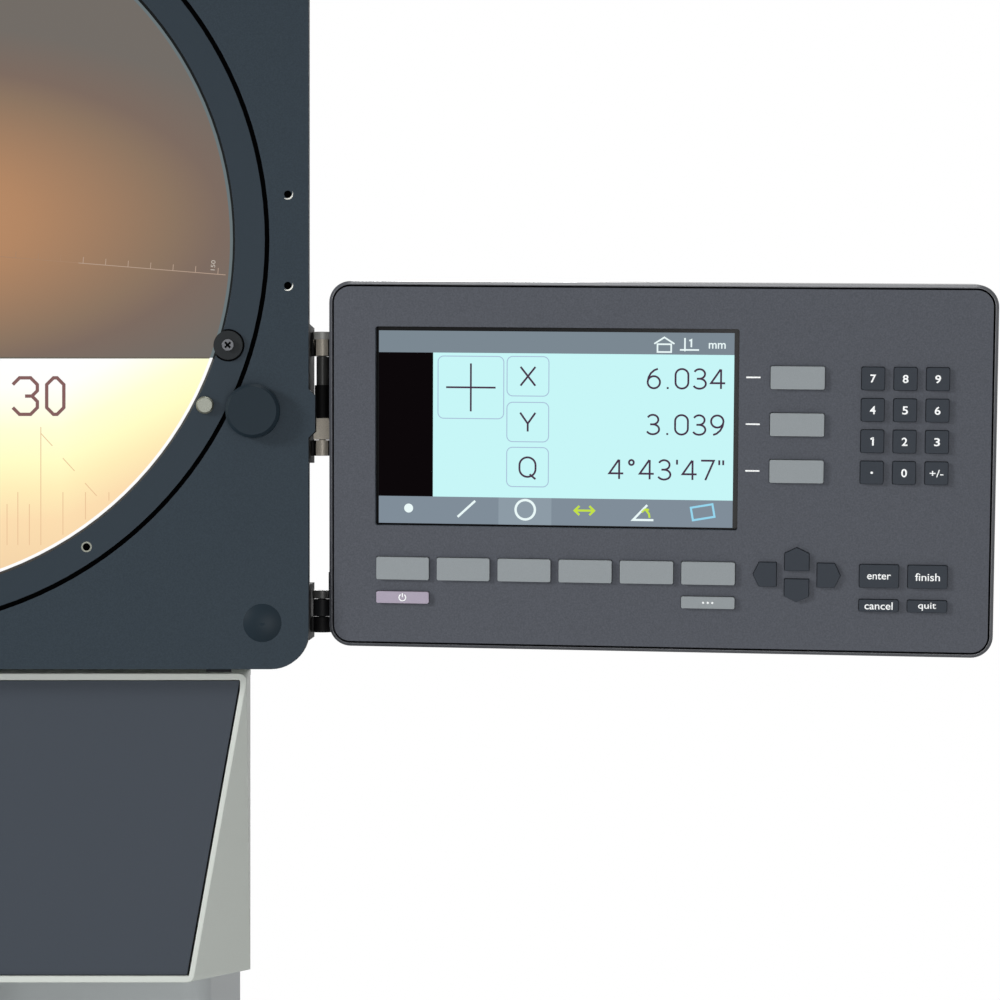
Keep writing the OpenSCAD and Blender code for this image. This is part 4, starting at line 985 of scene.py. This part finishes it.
# Figures and fine marks of the projected picture, which stand still while the glass turns

PICTURE_LIFT = 0.15
FIGURE_H = 16.2
FIGURE_CUT = 3.0
FIGURE_STROKE = 1.5
FIGURE_Z = -69.0
THREE_W = 10.9
THREE_WAIST = 2.4
THREE_X = 64.0
ZERO_W = 7.6
ZERO_X = 77.4


def picture_stroke(name, points, width, body, material, closed=False):
    mesh = stroke(name, points, width, closed)
    add(name, mesh, on_screen(0, 0, PICTURE_LIFT), body, material)


def cut_top(width):
    """Upper end of a figure, with its corners cut."""
    x, y = width / 2, FIGURE_H / 2
    return [(-x, y - FIGURE_CUT), (-x + FIGURE_CUT, y), (x - FIGURE_CUT, y), (x, y - FIGURE_CUT)]


three_right = THREE_W / 2
half_three = cut_top(THREE_W) + [(three_right, THREE_WAIST), (three_right - THREE_WAIST, 0), (0, 0)]
figure_zero = cut_top(ZERO_W) + [(-x, -y) for x, y in cut_top(ZERO_W)]
for part, turn in (("upper", 1), ("lower", -1)):
    half = moved([(x, turn * y) for x, y in half_three], THREE_X, FIGURE_Z)
    picture_stroke(f"picture_three_{part}", half, FIGURE_STROKE, "frame", picture_ink)
zero = moved(figure_zero, ZERO_X, FIGURE_Z)
picture_stroke("picture_zero", zero, FIGURE_STROKE, "frame", picture_ink, True)

FINE_STROKE = 0.35
MARK_R = 153.5
MARK_LOW = -135.1
MARK_TOPS = {
    56.0: -116.9,
    60.8: -111.6,
    65.9: -116.9,
    71.0: -82.7,
    80.8: -111.6,
    90.8: -111.6,
    101.2: -111.6,
}
for mark_x, top in MARK_TOPS.items():
    low = max(-math.sqrt(MARK_R ** 2 - mark_x ** 2), MARK_LOW)
    mark = [(mark_x, top), (mark_x, low)]
    picture_stroke(f"picture_mark_{mark_x:.0f}", mark, FINE_STROKE, "frame", picture_faint)
DASHES = 3
DASH_START = (70.9, -85.4)
DASH_STEP = (9.85, -11.1)
DASH_REACH = (5.2, -5.7)
for number in range(DASHES):
    start = (DASH_START[0] + number * DASH_STEP[0], DASH_START[1] + number * DASH_STEP[1])
    end = (start[0] + DASH_REACH[0], start[1] + DASH_REACH[1])
    picture_stroke(f"picture_scratch_{number}", [start, end], FINE_STROKE, "frame", picture_faint)


# The graticule on the turning glass: a level line with ticks, fainter over the warm light

GRATICULE_STROKE = 0.3
LINE_TURN = -4.65
LINE_Z = -2.8
LINE_R = 153.5
FADE_X = 88
TICKS = 15
TICK_PITCH = 10
TICK_H = 2.8
TICK_FIGURE_SIZE = (4.4, 1.9)
TICK_FIGURE_AT = (147.4, -10.95)


def graticule_stroke(name, points, ink):
    way = moved(points, 0, LINE_Z, LINE_TURN)
    picture_stroke(name, way, GRATICULE_STROKE, "screen", ink)


graticule_stroke("graticule_line", [(FADE_X, 0), (LINE_R, 0)], graticule)
graticule_stroke("graticule_line_faint", [(-LINE_R, 0), (FADE_X, 0)], graticule_faint)
for number in range(-TICKS, TICKS + 1):
    along = number * TICK_PITCH
    ink = graticule if along > FADE_X else graticule_faint
    graticule_stroke(f"graticule_tick_{number}", [(along, 0), (along, TICK_H)], ink)
turned = Matrix.Rotation(math.radians(90 + LINE_TURN), 4, "Z")
figure_place = on_screen(*TICK_FIGURE_AT, PICTURE_LIFT) @ turned
lettering("graticule_figure", "150", TICK_FIGURE_SIZE, figure_place, "screen", graticule_pale)


# Floor, light and camera

FLOOR_SIZE = (3600, 3000)
FLOOR_COLOUR = (0.8, 0.8, 0.8, 1)
FLOOR_ROUGH = 0.8
AMBIENT = 0.22
# Each lamp's place, target and size in metres, and its power in watts
LAMPS = {
    "key_light": ((-1.65, -1.2, 1.4), (0.3, -0.2, 0.7), 0.5, 32),
    "fill_light": ((0.5, -2.0, 0.55), (0.2, -0.2, 0.65), 0.8, 13.8),
    "top_light": ((0.3, -0.2, 2.1), (0.3, -0.2, 0.7), 0.6, 8),
    "back_light": ((-0.2, 2.4, 1.4), (0, 0.4, 0.7), 1.2, 24),
}
FRAME_W = 442.5
SENSOR_W = 36
CAMERA_REACH = 1300
CAMERA_X = 274.7
CAMERA_DROP = 115.1
CAMERA_FAR = 50


def studio_floor():
    mesh = patch("floor", bar(*FLOOR_SIZE))
    floor = bpy.data.objects.new("floor", mesh)
    floor.location = (0, 0, -PRINT_T * MM)
    mesh.materials.append(surface("floor_paint", FLOOR_COLOUR, FLOOR_ROUGH, grain=0.0, bump=0.0))
    bpy.context.scene.collection.objects.link(floor)
    floor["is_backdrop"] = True


def studio_world():
    """Soft light from all around, and white where the background is seen or reflected."""
    world = bpy.data.worlds.new("studio")
    world.use_nodes = True
    tree = world.node_tree
    rays = tree.nodes.new("ShaderNodeLightPath").outputs
    bounced = math_node(tree, "MAXIMUM", rays["Is Glossy Ray"], rays["Is Transmission Ray"])
    seen = math_node(tree, "MAXIMUM", rays["Is Camera Ray"], bounced)
    strength = math_node(tree, "ADD", math_node(tree, "MULTIPLY", seen, 1 - AMBIENT), AMBIENT)
    back = tree.nodes["Background"]
    back.inputs["Color"].default_value = WHITE
    tree.links.new(strength, back.inputs["Strength"])
    bpy.context.scene.world = world


def soft_light(name, place, target, size, power):
    data = bpy.data.lights.new(name, "AREA")
    data.size = size
    data.energy = power
    light = bpy.data.objects.new(name, data)
    light.location = place
    way = Vector(target) - Vector(place)
    light.rotation_euler = way.to_track_quat("-Z", "Y").to_euler()
    bpy.context.scene.collection.objects.link(light)


def photo_camera():
    data = bpy.data.cameras.new("camera")
    data.sensor_width = SENSOR_W
    data.lens = SENSOR_W * CAMERA_REACH / FRAME_W
    data.clip_end = CAMERA_FAR
    camera = bpy.data.objects.new("camera", data)
    camera.location = (CAMERA_X * MM, PLATE_FRONT - CAMERA_REACH * MM,
                       SCREEN_CENTRE.z - CAMERA_DROP * MM)
    camera.rotation_euler = (math.radians(90), 0, 0)
    bpy.context.scene.collection.objects.link(camera)
    bpy.context.scene.camera = camera


studio_floor()
studio_world()
for name, lamp in LAMPS.items():
    soft_light(name, *lamp)
photo_camera()
bpy.context.scene.view_settings.view_transform = "Standard"

low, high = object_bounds()
